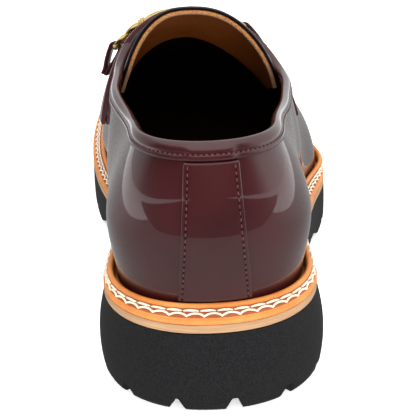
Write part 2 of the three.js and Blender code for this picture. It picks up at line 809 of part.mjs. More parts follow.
// The origin lies under the middle of the shoe, on the floor
const box = new THREE.Box3().setFromObject(group);
group.position.set(-(box.min.x + box.max.x) / 2, -(box.min.y + box.max.y) / 2, -box.min.z);

export default group;
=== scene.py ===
import math

import bmesh
import bpy
import numpy as np
from mathutils import Matrix, Vector


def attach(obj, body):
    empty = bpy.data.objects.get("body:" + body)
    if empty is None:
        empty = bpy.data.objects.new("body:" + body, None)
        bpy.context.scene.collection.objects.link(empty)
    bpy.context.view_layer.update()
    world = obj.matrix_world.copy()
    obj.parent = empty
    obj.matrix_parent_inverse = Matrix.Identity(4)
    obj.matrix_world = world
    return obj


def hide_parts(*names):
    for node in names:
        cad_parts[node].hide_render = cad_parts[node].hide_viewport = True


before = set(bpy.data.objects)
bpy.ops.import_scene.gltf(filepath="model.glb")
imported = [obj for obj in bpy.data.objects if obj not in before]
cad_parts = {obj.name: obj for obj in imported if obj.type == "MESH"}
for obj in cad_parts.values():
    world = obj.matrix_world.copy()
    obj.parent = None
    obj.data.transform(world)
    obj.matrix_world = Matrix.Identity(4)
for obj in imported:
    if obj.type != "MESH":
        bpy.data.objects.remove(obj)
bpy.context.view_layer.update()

# Shapes are worked out in millimetres from the back edge of the welt, as in the part's source,
# and this moves them into the part's frame
SHIFT = np.array([-4.9374, -151.285, 0.0])

SOLE_LENGTH = 305
HEEL_CENTRE = 42
BALL = 206
TOE_CENTRE = 250
SWING_FROM = 108
SWING = -12
HEEL_HEIGHT = 32
FOREFOOT_HEIGHT = 17.5
TOE_SPRING = 14
MIDSOLE = 3.6
WELT = 3.4
WELT_REACH = 7.2
WELT_EDGE = 1.9
BEAD_FOOT = 1.2
FLARE = 2.7
FRONT_FLARE = 0.1
HEEL_BREAST = 82
ARCH_SLANT = 0.25
LUG_DEPTH = 6.2
NOTCH_PITCH = 20.8
NOTCH_START = 6.5
EDGE_LUG = 15
BLOCK_PLACES = [(30, 22), (46, 26), (62, 26), (180, 40), (197, 44)]
WALL = 2
GAP = 0.3
STRIP_TOP = 8.7
STRIP_FOOT = 13.6
STRIP_CENTRE = 0.8
SADDLE = 1.8
TUCK_HEIGHT = 30
BACK_SQUARE = 2.8
BACK_TUCK = 4
INNER_RISE = 3.5
BIT_PLACE = 160
BIT_LIFT = 5.2
BIT_RISE = 2.4
BIT_SHIFT = -3.75
BIT_END = 33.75
RING_LENGTH = 9.4
RING_WIDTH = 13
RING_WIRE = 2.3
RING_SQUARE = 3.2
LOOP_WIDTH = 7
LOOP_LEATHER = 1.4
LOOP_TAIL = 13

COLUMNS = (
    "y", "medial", "lateral", "tuckIn", "tuckOut", "weltIn", "weltOut",
    "crown", "ridge", "squareIn", "squareOut",
)
SECTIONS = [
    (42, 36, 36.6, 5.6, 6.4, 4.6, 4.6, 117, 0, 1.8, 1.8),
    (68, 33.4, 36.4, 7, 5, 5, 5, 121, 0, 1.95, 1.98),
    (98, 28.8, 38.2, 11, 2.8, 6.4, 6.4, 126, -1, 2.6, 2.65),
    (118, 29, 42, 10.4, 4.4, 7.2, 7.2, 123.5, -3, 2.4, 2.4),
    (142, 33, 47.8, 11, 0.6, 7.2, 7.2, 113.2, -2, 2.28, 2.15),
    (160, 36.8, 54.2, 8.4, 0.8, 7.2, 6.4, 104, -2, 2.2, 1.75),
    (178, 40, 61, 5, 1.4, 7.2, 3.4, 92.5, -1.5, 2.25, 1.6),
    (206, 42.2, 59.8, 2, 1.6, 7.2, 4.6, 77, -1, 2.4, 2),
    (234, 41, 57.6, 1.6, 1.6, 7.2, 6.6, 65, 0, 2.4, 2.4),
    (250, 38.7, 54.4, 1.4, 1.4, 7.2, 7.2, 62, 0, 2.4, 2.4),
]
TOP_LINE = [
    (-30, 100.6, 5.6),
    (12, 100, 5.6),
    (42, 97.4, 4.4),
    (68, 93.2, 4.6),
    (98, 90.4, 6),
    (118, 90, 6.2),
]
THROAT = [(128, 91.5), (135.5, 97), (140.5, 106), (144, 120)]
ARCH = [(-40, 0), (82, 0), (86, 9), (106, 11), (130, 10), (148, 6.5), (163, 0), (500, 0)]


def spline(xs, ys):
    """Natural cubic spline, held level past its ends."""
    xs = np.asarray(xs, float)
    ys = np.asarray(ys, float)
    n = len(xs)
    h = np.diff(xs)
    a = np.zeros((n, n))
    b = np.zeros(n)
    a[0, 0] = a[-1, -1] = 1
    for i in range(1, n - 1):
        a[i, i - 1], a[i, i], a[i, i + 1] = h[i - 1], 2 * (h[i - 1] + h[i]), h[i]
        b[i] = 6 * ((ys[i + 1] - ys[i]) / h[i] - (ys[i] - ys[i - 1]) / h[i - 1])
    m = np.linalg.solve(a, b)

    def at(x):
        x = np.clip(np.asarray(x, float), xs[0], xs[-1])
        i = np.clip(np.searchsorted(xs, x, side="left") - 1, 0, n - 2)
        t0 = (xs[i + 1] - x) / h[i]
        t1 = 1 - t0
        curl = (t0**3 - t0) * m[i] + (t1**3 - t1) * m[i + 1]
        return t0 * ys[i] + t1 * ys[i + 1] + curl * h[i] ** 2 / 6

    return at


def ease(t):
    t = np.clip(t, 0, 1)
    return t * t * (3 - 2 * t)


def run_length(path):
    """Length along a polyline at each of its points."""
    return np.concatenate([[0], np.cumsum(np.linalg.norm(np.diff(path, axis=0), axis=1))])


def pick(at, key, path):
    """Points of a path where its key, such as its length, takes the given values."""
    return np.stack([np.interp(at, key, path[:, k]) for k in range(3)], -1)


section = {
    name: spline([r[0] for r in SECTIONS], [r[k] for r in SECTIONS]) for k, name in enumerate(COLUMNS) if k
}
top_rows = [(y, z) for y, z, _ in TOP_LINE] + THROAT
top_line = spline([r[0] for r in top_rows], [r[1] for r in top_rows])
band_drop = spline([r[0] for r in TOP_LINE], [r[2] for r in TOP_LINE])


def inner_rise(y, side):
    return np.where(side < 0, INNER_RISE * (ease((y - 50) / 45) - ease((y - 118) / 29)), 0.0)


def swing(y):
    return SWING * np.maximum((y - SWING_FROM) / (SOLE_LENGTH - SWING_FROM), 0) ** 2


def sole_top(y):
    drop = (FOREFOOT_HEIGHT - HEEL_HEIGHT) * ease((y - 48) / 124)
    return HEEL_HEIGHT + drop + TOE_SPRING * np.maximum((y - 200) / (SOLE_LENGTH - 200), 0) ** 2


def sole_foot(y, x):
    turned = y + ARCH_SLANT * x * ease((y - 100) / 30)
    low = np.interp(turned, [r[0] for r in ARCH], [r[1] for r in ARCH])
    return low + TOE_SPRING * np.maximum((y - 212) / (SOLE_LENGTH - 212), 0) ** 2


def feather(y):
    return sole_top(y) + MIDSOLE + WELT


# Directions round the shoe, anticlockwise from the back: foot on the middle line, direction,
# side, reach of the feather edge, and the shape of upper and welt there
STATIONS = np.concatenate([np.arange(42, 116, 2.0), np.arange(116, 148, 0.8), np.arange(148, 250.1, 2.0)])


def toe_reach(half, dx, dy):
    long = SOLE_LENGTH - WELT_REACH - BALL
    near, far = 0.0, 120.0
    for _ in range(50):
        mid = (near + far) / 2
        if (abs(dx * mid) / half) ** 2.3 + ((TOE_CENTRE - BALL + dy * mid) / long) ** 2.3 < 1:
            near = mid
        else:
            far = mid
    return near


def ray(foot, angle):
    dx, dy = math.cos(angle), math.sin(angle)
    side = 1 if dx >= 0 else -1
    name = "lateral" if side > 0 else "medial"
    tuck = float(section["tuckOut" if side > 0 else "tuckIn"](foot))
    square = float(section["squareOut" if side > 0 else "squareIn"](foot))
    welt = float(section["weltOut" if side > 0 else "weltIn"](foot))
    half = float(section[name](min(foot, BALL)))
    turn = dy * dy
    if foot == HEEL_CENTRE and dy < 0:
        long = HEEL_CENTRE - WELT_REACH
        reach = (abs(dx / half) ** 2.25 + abs(dy / long) ** 2.25) ** (-1 / 2.25)
        tuck += (BACK_TUCK - tuck) * turn
        square += (BACK_SQUARE - square) * turn
        welt += (WELT_REACH - welt) * turn
    elif foot == TOE_CENTRE and dy > 0:
        reach = toe_reach(half, dx, dy)
    elif foot <= BALL:
        reach = half
    else:
        reach = half * (1 - ((foot - BALL) / (SOLE_LENGTH - WELT_REACH - BALL)) ** 2.3) ** (1 / 2.3)
    return (foot, dx, dy, side, reach, tuck, square, welt)


FAN = 40
rays = [ray(HEEL_CENTRE, (i / FAN) * math.pi / 2) for i in range(-FAN, 0)]
first_lateral = len(rays)
rays += [ray(y, 0) for y in STATIONS]
rays += [ray(TOE_CENTRE, (i / FAN) * math.pi / 2) for i in range(1, 2 * FAN)]
rays += [ray(y, math.pi) for y in STATIONS[::-1]]
first_back = len(rays)
rays += [ray(HEEL_CENTRE, math.pi + (i / FAN) * math.pi / 2) for i in range(1, FAN)]
FOOT, DX, DY, SIDE, REACH, TUCK, SQUARE, WELTS = (np.array(c, float) for c in zip(*rays))
COUNT = len(rays)


def along_rays(distance, height):
    """Points at a distance along every ray; height is a function of (y, x) or an array."""
    y = FOOT + DY * distance
    x = DX * distance
    z = height(y, x) if callable(height) else height
    return np.stack([x + swing(y), y, z + 0 * x], -1)


edge_path = along_rays(REACH, 0 * REACH)
spacing = np.linalg.norm(np.roll(edge_path, -1, 0) - edge_path, axis=1)

# The last as a grid: every ray's arch resampled to even lengths
ROWS = 97
SHARES = np.linspace(0, 1, ROWS)


def arch_grid():
    phi = np.linspace(0, math.pi / 2, 500)
    grid = np.zeros((COUNT, ROWS, 3))
    for i in range(COUNT):
        wide = np.cos(phi) ** (2 / SQUARE[i])
        high = np.sin(phi) ** (2 / SQUARE[i])
        wide[-1] = 0
        base = feather(FOOT[i] + DY[i] * REACH[i])
        tall = section["crown"](FOOT[i]) - base
        swell = TUCK[i] * ease(high * tall / TUCK_HEIGHT)
        reach = (REACH[i] + swell) * wide
        y = FOOT[i] + DY[i] * reach
        x = DX[i] * reach + section["ridge"](FOOT[i]) * high**1.5 + swing(y)
        curve = np.stack([x, y, base + high * tall], -1)
        length = run_length(curve)
        grid[i] = pick(SHARES, length / length[-1], curve)
    return grid


def smooth_round(grid, amount):
    """Evens a closed loop of points along its length, as a diffusion over amount square millimetres."""
    n = len(grid)
    before = np.roll(spacing, 1)
    after = spacing
    mean = (before + after) / 2
    matrix = np.eye(n)
    for i in range(n):
        matrix[i, (i + 1) % n] -= amount / (after[i] * mean[i])
        matrix[i, (i - 1) % n] -= amount / (before[i] * mean[i])
        matrix[i, i] += amount / (after[i] * mean[i]) + amount / (before[i] * mean[i])
    return np.linalg.solve(matrix, grid.reshape(n, -1)).reshape(grid.shape)


SMOOTHING = 22.0
CROWN_HELD_FROM = 0.72
LAST = arch_grid()
held = ease((SHARES - CROWN_HELD_FROM) / 0.2)[None, :, None]
LAST = smooth_round(LAST, SMOOTHING) * (1 - held) + LAST * held

# Partner of each ray across the crown
partner = np.arange(COUNT)
for k in range(len(STATIONS)):
    a = first_lateral + k
    b = first_back - 1 - k
    partner[a], partner[b] = b, a


def normals_of(grid):
    du = np.roll(grid, -1, 0) - np.roll(grid, 1, 0)
    dv = np.zeros_like(grid)
    dv[:, 1:-1] = grid[:, 2:] - grid[:, :-2]
    dv[:, 0] = grid[:, 1] - grid[:, 0]
    dv[:, -1] = grid[partner, -2] - grid[:, -2]
    n = np.cross(du, dv)
    size = np.linalg.norm(n, axis=2, keepdims=True)
    n = n / np.maximum(size, 1e-9)
    for i in range(COUNT):
        if partner[i] == i:
            n[i, -1] = n[i, -2]
    both = n[:, -1] + n[partner, -1]
    n[:, -1] = both / np.maximum(np.linalg.norm(both, axis=1, keepdims=True), 1e-9)
    return n


NORMALS = normals_of(LAST)


def surf(i, v, off=0.0):
    """Point on the last at ray i (may lie between rays) and share v, moved off it."""
    i = np.asarray(i, float) % COUNT
    v = np.clip(np.asarray(v, float), 0, 1) * (ROWS - 1)
    i, v, off = np.broadcast_arrays(i, v, np.asarray(off, float))
    i0 = np.floor(i).astype(int) % COUNT
    i1 = (i0 + 1) % COUNT
    j0 = np.minimum(np.floor(v).astype(int), ROWS - 2)
    a = (i - np.floor(i))[..., None]
    b = (v - j0)[..., None]

    def mix(g):
        low = g[i0, j0] * (1 - a) + g[i1, j0] * a
        high = g[i0, j0 + 1] * (1 - a) + g[i1, j0 + 1] * a
        return low * (1 - b) + high * b

    n = mix(NORMALS)
    n /= np.maximum(np.linalg.norm(n, axis=-1, keepdims=True), 1e-9)
    return mix(LAST) + n * off[..., None]


def ray_at(y, side):
    """Index of the ray beside a place on the foot."""
    k = np.interp(y, STATIONS, np.arange(len(STATIONS)))
    return np.where(np.asarray(side) > 0, first_lateral + k, first_back - 1 - k)


def share_at(i, z):
    """Share at which ray i reaches height z."""
    i = np.atleast_1d(np.asarray(i, float))
    z = np.broadcast_to(np.asarray(z, float), i.shape)
    out = np.zeros(i.shape)
    for k in range(i.size):
        column = surf(i.flat[k], SHARES)[:, 2]
        out.flat[k] = np.interp(z.flat[k], np.maximum.accumulate(column), SHARES)
    return out


def cut_share():
    """Share at which each ray meets the top line; 1 where it doesn't."""
    out = np.ones(COUNT)
    for i in range(COUNT):
        y, z = LAST[i, :, 1], LAST[i, :, 2]
        if FOOT[i] > THROAT[-1][0] - 0.2:
            continue
        over = z - top_line(y) - inner_rise(y, SIDE[i])
        k = np.argmax(over > 0)
        if over[k] > 0:
            t = over[k - 1] / (over[k - 1] - over[k])
            out[i] = (k - 1 + t) / (ROWS - 1)
    return out


# Mesh helpers


def make(name, points, faces, materials, angle=None, indices=None, node=None):
    mesh = bpy.data.meshes.new(name)
    points = (np.asarray(points, float).reshape(-1, 3) + SHIFT) / 1000
    mesh.from_pydata(points.tolist(), [], [tuple(int(i) for i in f) for f in faces])
    for m in materials:
        mesh.materials.append(m)
    if indices is not None:
        mesh.polygons.foreach_set("material_index", np.asarray(indices, np.int32))
    mesh.update()
    mesh.polygons.foreach_set("use_smooth", np.ones(len(mesh.polygons), bool))
    if angle is not None:
        mesh.set_sharp_from_angle(angle=math.radians(angle))
    obj = bpy.data.objects.new(name, mesh)
    bpy.context.collection.objects.link(obj)
    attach(obj, "root")
    for n in node or []:
        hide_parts(n)
    return obj


def weld(obj, distance):
    b = bmesh.new()
    b.from_mesh(obj.data)
    bmesh.ops.remove_doubles(b, verts=b.verts, dist=distance / 1000)
    bmesh.ops.recalc_face_normals(b, faces=b.faces)
    b.to_mesh(obj.data)
    b.free()
    obj.data.update()


def grid_faces(rows, columns, closed_rows=False, closed_columns=False, start=0):
    faces = []
    for i in range(rows if closed_rows else rows - 1):
        for j in range(columns if closed_columns else columns - 1):
            a = start + i * columns + j
            b = start + ((i + 1) % rows) * columns + j
            c = start + ((i + 1) % rows) * columns + (j + 1) % columns
            d = start + i * columns + (j + 1) % columns
            faces.append((a, b, c, d))
    return faces


class Batch:
    """Several small closed forms gathered into one mesh."""

    def __init__(self):
        self.points = []
        self.faces = []

    def grid(self, grid, closed_rows=False, closed_columns=False):
        grid = np.asarray(grid, float)
        start = len(self.points)
        self.points += grid.reshape(-1, 3).tolist()
        self.faces += grid_faces(grid.shape[0], grid.shape[1], closed_rows, closed_columns, start)

    def tube(self, path, radius, sides, up, closed=False):
        """Tube along a path; radius may vary."""
        path = np.asarray(path, float)
        n = len(path)
        radius = np.broadcast_to(np.asarray(radius, float), (n,))
        if closed:
            tangent = np.roll(path, -1, 0) - np.roll(path, 1, 0)
        else:
            tangent = np.gradient(path, axis=0)
        tangent /= np.maximum(np.linalg.norm(tangent, axis=1, keepdims=True), 1e-9)
        up = np.broadcast_to(np.asarray(up, float), (n, 3))
        across = np.cross(tangent, up)
        across /= np.maximum(np.linalg.norm(across, axis=1, keepdims=True), 1e-9)
        out = np.cross(across, tangent)
        angle = np.arange(sides) / sides * 2 * math.pi
        ring = (
            path[:, None]
            + across[:, None] * (radius[:, None] * np.cos(angle))[..., None]
            + out[:, None] * (radius[:, None] * np.sin(angle))[..., None]
        )
        self.grid(ring, closed_rows=closed, closed_columns=True)
        if not closed:
            for k, flip in ((0, False), (n - 1, True)):
                start = len(self.points)
                self.points += ring[k].tolist()
                cap = list(range(start, start + sides))
                self.faces.append(tuple(cap if not flip else cap[::-1]))

    def stitch(self, a, b, out, radius, rise):
        """One short stitch from a to b that dips into the surface at both ends."""
        a, b, out = (np.asarray(p, float) for p in (a, b, out))
        t = np.linspace(0, 1, 7)
        arc = np.sin(t * math.pi) ** 0.5
        path = a + (b - a) * t[:, None] + out * ((arc - 0.75) * radius * 1.2 + rise)[:, None]
        size = radius * (0.45 + 0.55 * np.sin(np.clip(t, 0.02, 0.98) * math.pi) ** 0.5)
        self.tube(path, size, 7, up=out)

    def make(self, name, material, slot, angle=None, node=None):
        return make(name, self.points, self.faces, [material], angle, node=node)


def even(path, step, start=0.0, closed=False):
    """Points at even steps along a polyline, with their index on it."""
    path = np.asarray(path, float)
    if closed:
        path = np.vstack([path, path[:1]])
    length = run_length(path)
    count = int((length[-1] - start) // step)
    if closed:
        at = start + np.arange(count) * (length[-1] / count)
    else:
        at = start + np.arange(count + 1) * step
    return pick(at, length, path), np.interp(at, length, np.arange(len(path)))


# Materials


def shader(name):
    m = bpy.data.materials.new(name)
    m.use_nodes = True
    nodes = m.node_tree.nodes
    bsdf = next(n for n in nodes if n.type == "BSDF_PRINCIPLED")
    return m, nodes, m.node_tree.links, bsdf


def add(nodes, kind, **inputs):
    n = nodes.new(kind)
    for key, value in inputs.items():
        if key in n.inputs:
            n.inputs[key].default_value = value
        else:
            setattr(n, key, value)
    return n


def noise(nodes, links, scale, detail=3.0, rough=0.5):
    place = add(nodes, "ShaderNodeTexCoord")
    n = add(nodes, "ShaderNodeTexNoise", Scale=scale, Detail=detail, Roughness=rough)
    links.new(place.outputs["Object"], n.inputs["Vector"])
    return n


def ramp(nodes, links, source, stops):
    r = nodes.new("ShaderNodeValToRGB")
    elements = r.color_ramp.elements
    while len(elements) < len(stops):
        elements.new(0.5)
    for e, (at, colour) in zip(elements, stops):
        e.position = at
        e.color = (*colour, 1) if len(colour) == 3 else colour
    links.new(source, r.inputs["Fac"])
    return r


def bump(nodes, links, source, strength, distance, bsdf):
    b = add(nodes, "ShaderNodeBump", Strength=strength, Distance=distance)
    links.new(source, b.inputs["Height"])
    links.new(b.outputs["Normal"], bsdf.inputs["Normal"])


def srgb(h):
    c = np.array([int(h[i : i + 2], 16) / 255 for i in (0, 2, 4)])
    return tuple(np.where(c <= 0.04045, c / 12.92, ((c + 0.055) / 1.055) ** 2.4).tolist())


def leather(name, dark, light, rough, coat, coat_rough, grain):
    m, nodes, links, bsdf = shader(name)
    broad = noise(nodes, links, 22, 4, 0.55)
    colour = ramp(nodes, links, broad.outputs["Fac"], [(0.32, dark), (0.68, light)])
    links.new(colour.outputs["Color"], bsdf.inputs["Base Color"])
    fine = noise(nodes, links, 900, 4, 0.6)
    wear = ramp(
        nodes, links, fine.outputs["Fac"], [(0.3, (rough * 0.8,) * 3), (0.7, (min(rough * 1.25, 1),) * 3)]
    )
    links.new(wear.outputs["Color"], bsdf.inputs["Roughness"])
    bsdf.inputs["Coat Weight"].default_value = coat
    bsdf.inputs["Coat Roughness"].default_value = coat_rough
    bsdf.inputs["Coat IOR"].default_value = 1.5
    bump(nodes, links, fine.outputs["Fac"], grain, 0.0004, bsdf)
    return m


OXBLOOD = leather("oxblood_leather", srgb("2c0a0c"), srgb("3c1013"), 0.36, 1.0, 0.03, 0.004)
CUT_EDGE = leather("cut_edge", srgb("3a1216"), srgb("54222a"), 0.45, 0.4, 0.15, 0.1)
SADDLE_LEATHER = leather("saddle_leather", srgb("28080b"), srgb("380d12"), 0.36, 1.0, 0.04, 0.004)
LOOP_LEATHER_MAT = leather("loop_leather", srgb("28080b"), srgb("3a0f14"), 0.4, 0.7, 0.1, 0.02)
# Near-black leather: on the tongue's rolled edge it is black edge paint; on the tongue's outside it is a
# painted dark reflection over dark burgundy leather, and on the upper at the throat a painted shade
BLACK_EDGE_AND_PAINTED_SHADE = leather("tongue_leather_and_painted_shade", srgb("0c0506"), srgb("150809"), 0.4, 0.8, 0.1, 0.02)
LINING = leather("tan_lining", srgb("8a4618"), srgb("a85c26"), 0.7, 0.0, 0.3, 0.25)
# Painted shade: near-black lining for the inside of the upper and the insole, standing in for the shade
# inside the shoe over tan leather
PAINTED_SHADE_LINING = leather("lining_painted_shade", srgb("120b08"), srgb("1b110c"), 0.75, 0.0, 0.3, 0.25)


def suede():
    m, nodes, links, bsdf = shader("suede_edge")
    knurl = noise(nodes, links, 1500, 3, 0.7)
    colour = ramp(nodes, links, knurl.outputs["Fac"], [(0.3, srgb("8a4a1c")), (0.7, srgb("dc9c58"))])
    links.new(colour.outputs["Color"], bsdf.inputs["Base Color"])
    bsdf.inputs["Roughness"].default_value = 0.9
    bsdf.inputs["Sheen Weight"].default_value = 0.3
    bump(nodes, links, knurl.outputs["Fac"], 0.9, 0.0006, bsdf)
    return m


def welt_leather(name, low, mid, high):
    m, nodes, links, bsdf = shader(name)
    broad = noise(nodes, links, 60, 4, 0.6)
    colour = ramp(
        nodes, links, broad.outputs["Fac"], [(0.3, srgb(low)), (0.55, srgb(mid)), (0.75, srgb(high))]
    )
    links.new(colour.outputs["Color"], bsdf.inputs["Base Color"])
    fine = noise(nodes, links, 1200, 4, 0.6)
    rough = ramp(nodes, links, fine.outputs["Fac"], [(0.3, (0.38,) * 3), (0.7, (0.56,) * 3)])
    links.new(rough.outputs["Color"], bsdf.inputs["Roughness"])
    bump(nodes, links, fine.outputs["Fac"], 0.2, 0.0004, bsdf)
    return m


def midsole_material():
    m, nodes, links, bsdf = shader("midsole_layer")
    place = add(nodes, "ShaderNodeTexCoord")
    stretch = add(nodes, "ShaderNodeMapping")
    stretch.inputs["Scale"].default_value = (60, 60, 1500)
    links.new(place.outputs["Object"], stretch.inputs["Vector"])
    fibre = add(nodes, "ShaderNodeTexNoise", Scale=1.0, Detail=4.0, Roughness=0.6)
    links.new(stretch.outputs["Vector"], fibre.inputs["Vector"])
    tones = [(0.3, srgb("a07c5a")), (0.55, srgb("ae8965")), (0.75, srgb("bd9a78"))]
    colour = ramp(nodes, links, fibre.outputs["Fac"], tones)
    links.new(colour.outputs["Color"], bsdf.inputs["Base Color"])
    bsdf.inputs["Roughness"].default_value = 0.75
    bump(nodes, links, fibre.outputs["Fac"], 0.25, 0.0004, bsdf)
    return m


def rubber():
    m, nodes, links, bsdf = shader("sole_rubber")
    grain = noise(nodes, links, 1400, 3, 0.65)
    colour = ramp(nodes, links, grain.outputs["Fac"], [(0.35, srgb("111112")), (0.65, srgb("1e1e20"))])
    links.new(colour.outputs["Color"], bsdf.inputs["Base Color"])
    rough = ramp(nodes, links, grain.outputs["Fac"], [(0.3, (0.62,) * 3), (0.7, (0.85,) * 3)])
    links.new(rough.outputs["Color"], bsdf.inputs["Roughness"])
    bsdf.inputs["Specular IOR Level"].default_value = 0.35
    bump(nodes, links, grain.outputs["Fac"], 0.35, 0.0005, bsdf)
    return m


def thread(name, low, high):
    m, nodes, links, bsdf = shader(name)
    twist = noise(nodes, links, 1800, 2, 0.5)
    colour = ramp(nodes, links, twist.outputs["Fac"], [(0.3, low), (0.7, high)])
    links.new(colour.outputs["Color"], bsdf.inputs["Base Color"])
    bsdf.inputs["Roughness"].default_value = 0.7
    bump(nodes, links, twist.outputs["Fac"], 0.4, 0.0003, bsdf)
    return m


def gold():
    m, nodes, links, bsdf = shader("gold_metal")
    marks = noise(nodes, links, 300, 4, 0.6)
    colour = ramp(nodes, links, marks.outputs["Fac"], [(0.3, srgb("e6b85e")), (0.7, srgb("fbdc98"))])
    links.new(colour.outputs["Color"], bsdf.inputs["Base Color"])
    rough = ramp(nodes, links, marks.outputs["Fac"], [(0.3, (0.08,) * 3), (0.7, (0.16,) * 3)])
    links.new(rough.outputs["Color"], bsdf.inputs["Roughness"])
    bsdf.inputs["Metallic"].default_value = 1.0
    return m


SUEDE = suede()
WELT_LEATHER = welt_leather("welt_leather", "c87634", "d6843e", "e4954e")
WELT_FACE = welt_leather("welt_face", "8e4520", "9c4f27", "ac5d32")
MIDSOLE_LAYER = midsole_material()
RUBBER = rubber()
CREAM_THREAD = thread("cream_thread", srgb("d8c7a8"), srgb("f6eedd"))
# Painted shade: near-black for the stitch holes, standing in for the shadow inside each needle hole
STITCH_HOLE_PAINTED_SHADE = thread("stitch_hole_painted_shade", srgb("060303"), srgb("0c0505"))
# Maroon thread coloured lighter and pinker than the leather: partly its own colour, partly a painted
# highlight
OXBLOOD_THREAD_PAINTED_SHEEN = thread("oxblood_thread_painted_sheen", srgb("4a2226"), srgb("6e3c42"))
GOLD = gold()

# Upper: the last's surface up to the top line, with soft folds, then given its wall
TOP_SHARE = cut_share()
UPPER_ROWS = 72


def folds(i, v):
    """Soft folds: below the ends of the band, and a slow unevenness of the quarters."""
    p = surf(i, v)
    x, y, z = p[..., 0], p[..., 1], p[..., 2]
    side = np.where(x > 0, 1.0, -1.0)
    near_top = ease((z - 56) / 24)
    along = ease((y - 48) / 24) - ease((y - 122) / 16)
    outward = y + 0.22 * z + 1.6 * np.sin(y / 9.0 + z / 21.0)
    inward = y + 0.1 * z + 1.1 * np.sin(y / 7.0 + z / 17.0)
    wide = 0.075 * np.sin(outward * 0.82) + 0.04 * np.sin(outward * 1.55 + 1.0)
    fine = 0.045 * np.sin(inward * 1.45) + 0.03 * np.sin(inward * 2.4 + 0.6)
    d = np.where(side > 0, wide, fine) * near_top * along
    d += 0.06 * np.sin(x / 9.0 + 0.7) * np.sin(z / 11.0 + y / 23.0)
    return d * ease(v / 0.08)


index = np.arange(COUNT)[:, None]
share = TOP_SHARE[:, None] * np.linspace(0, 1, UPPER_ROWS)[None, :]
lift = folds(index + 0 * share, share)
seam_from = ease((FOOT + np.where(DY > 0, 40 * DY, 0) - 172) / 12)[:, None]

# Apron seam on the vamp: a raised line at a steady share of the width, with a shallow groove beside it
SHOULDER, SEAM_SIDE = 0.73, 0.88
SEAM_RISE, SEAM_WIDTH = 1.5, 1.5
GROOVE_DEEP, GROOVE_PLACE, GROOVE_WIDTH = 0.35, 3.2, 1.2
seam_height = np.zeros(COUNT)
for i in range(COUNT):
    base = feather(FOOT[i] + DY[i] * REACH[i])
    tall = float(section["crown"](FOOT[i])) - base
    n = SQUARE[i]
    shoulder = (1 - SHOULDER**n) ** (1 / n) * SEAM_SIDE
    seam_height[i] = base + tall * (1 - shoulder**n) ** (1 / n)
seam_share = np.array(
    [np.interp(seam_height[i], np.maximum.accumulate(LAST[i, :, 2]), SHARES) for i in range(COUNT)]
)
step = np.linalg.norm(LAST[:, 1:] - LAST[:, :-1], axis=2).sum(1)
from_seam = (share - seam_share[:, None]) * step[:, None]
seam = SEAM_RISE * np.exp(-((from_seam / SEAM_WIDTH) ** 2))
seam -= GROOVE_DEEP * np.exp(-(((np.abs(from_seam) - GROOVE_PLACE) / GROOVE_WIDTH) ** 2))
outer = surf(index, share, lift + seam * seam_from)
outer[:, 0, 2] += GAP

ray_of = np.repeat(np.arange(COUNT), UPPER_ROWS - 1)
row_of = np.tile(np.arange(UPPER_ROWS - 1), COUNT)
below_top = (1 - row_of / UPPER_ROWS) * TOP_SHARE[ray_of] * step[ray_of]
# Painted shade: the upper's faces along the throat, a few millimetres below the top line, take the near-black
# tongue material for the shade in the recess under the saddle strap
THROAT_SHADE_FROM, THROAT_SHADE_TO, THROAT_SHADE_DEEP = 127, 146, 3.5
painted_shade_at_throat = (FOOT[ray_of] > THROAT_SHADE_FROM) & (FOOT[ray_of] < THROAT_SHADE_TO) & (below_top < THROAT_SHADE_DEEP)
upper = make(
    "upper_shell", outer, grid_faces(COUNT, UPPER_ROWS, closed_rows=True),
    [OXBLOOD, PAINTED_SHADE_LINING, BLACK_EDGE_AND_PAINTED_SHADE, PAINTED_SHADE_LINING],
    indices=np.where(painted_shade_at_throat, 2, 0), node=["upper"],
)
weld(upper, 0.06)
wall = upper.modifiers.new("wall", "SOLIDIFY")
wall.thickness = WALL / 1000
wall.offset = -1
wall.material_offset = 1
wall.material_offset_rim = 0

# Collar band: a folded binding that rolls over the top line
BAND_TO = 138.0
BAND_MOST = 7.0
BULGE_HALF = 8.6
BULGE_CENTRE = 0.55
BAND_STITCH_ROW = 0.67
i_start = int(math.ceil(float(ray_at(BAND_TO, -1))))
i_end = int(math.floor(float(ray_at(BAND_TO, 1)))) + COUNT
band_rays = np.arange(i_start, i_end + 1) % COUNT
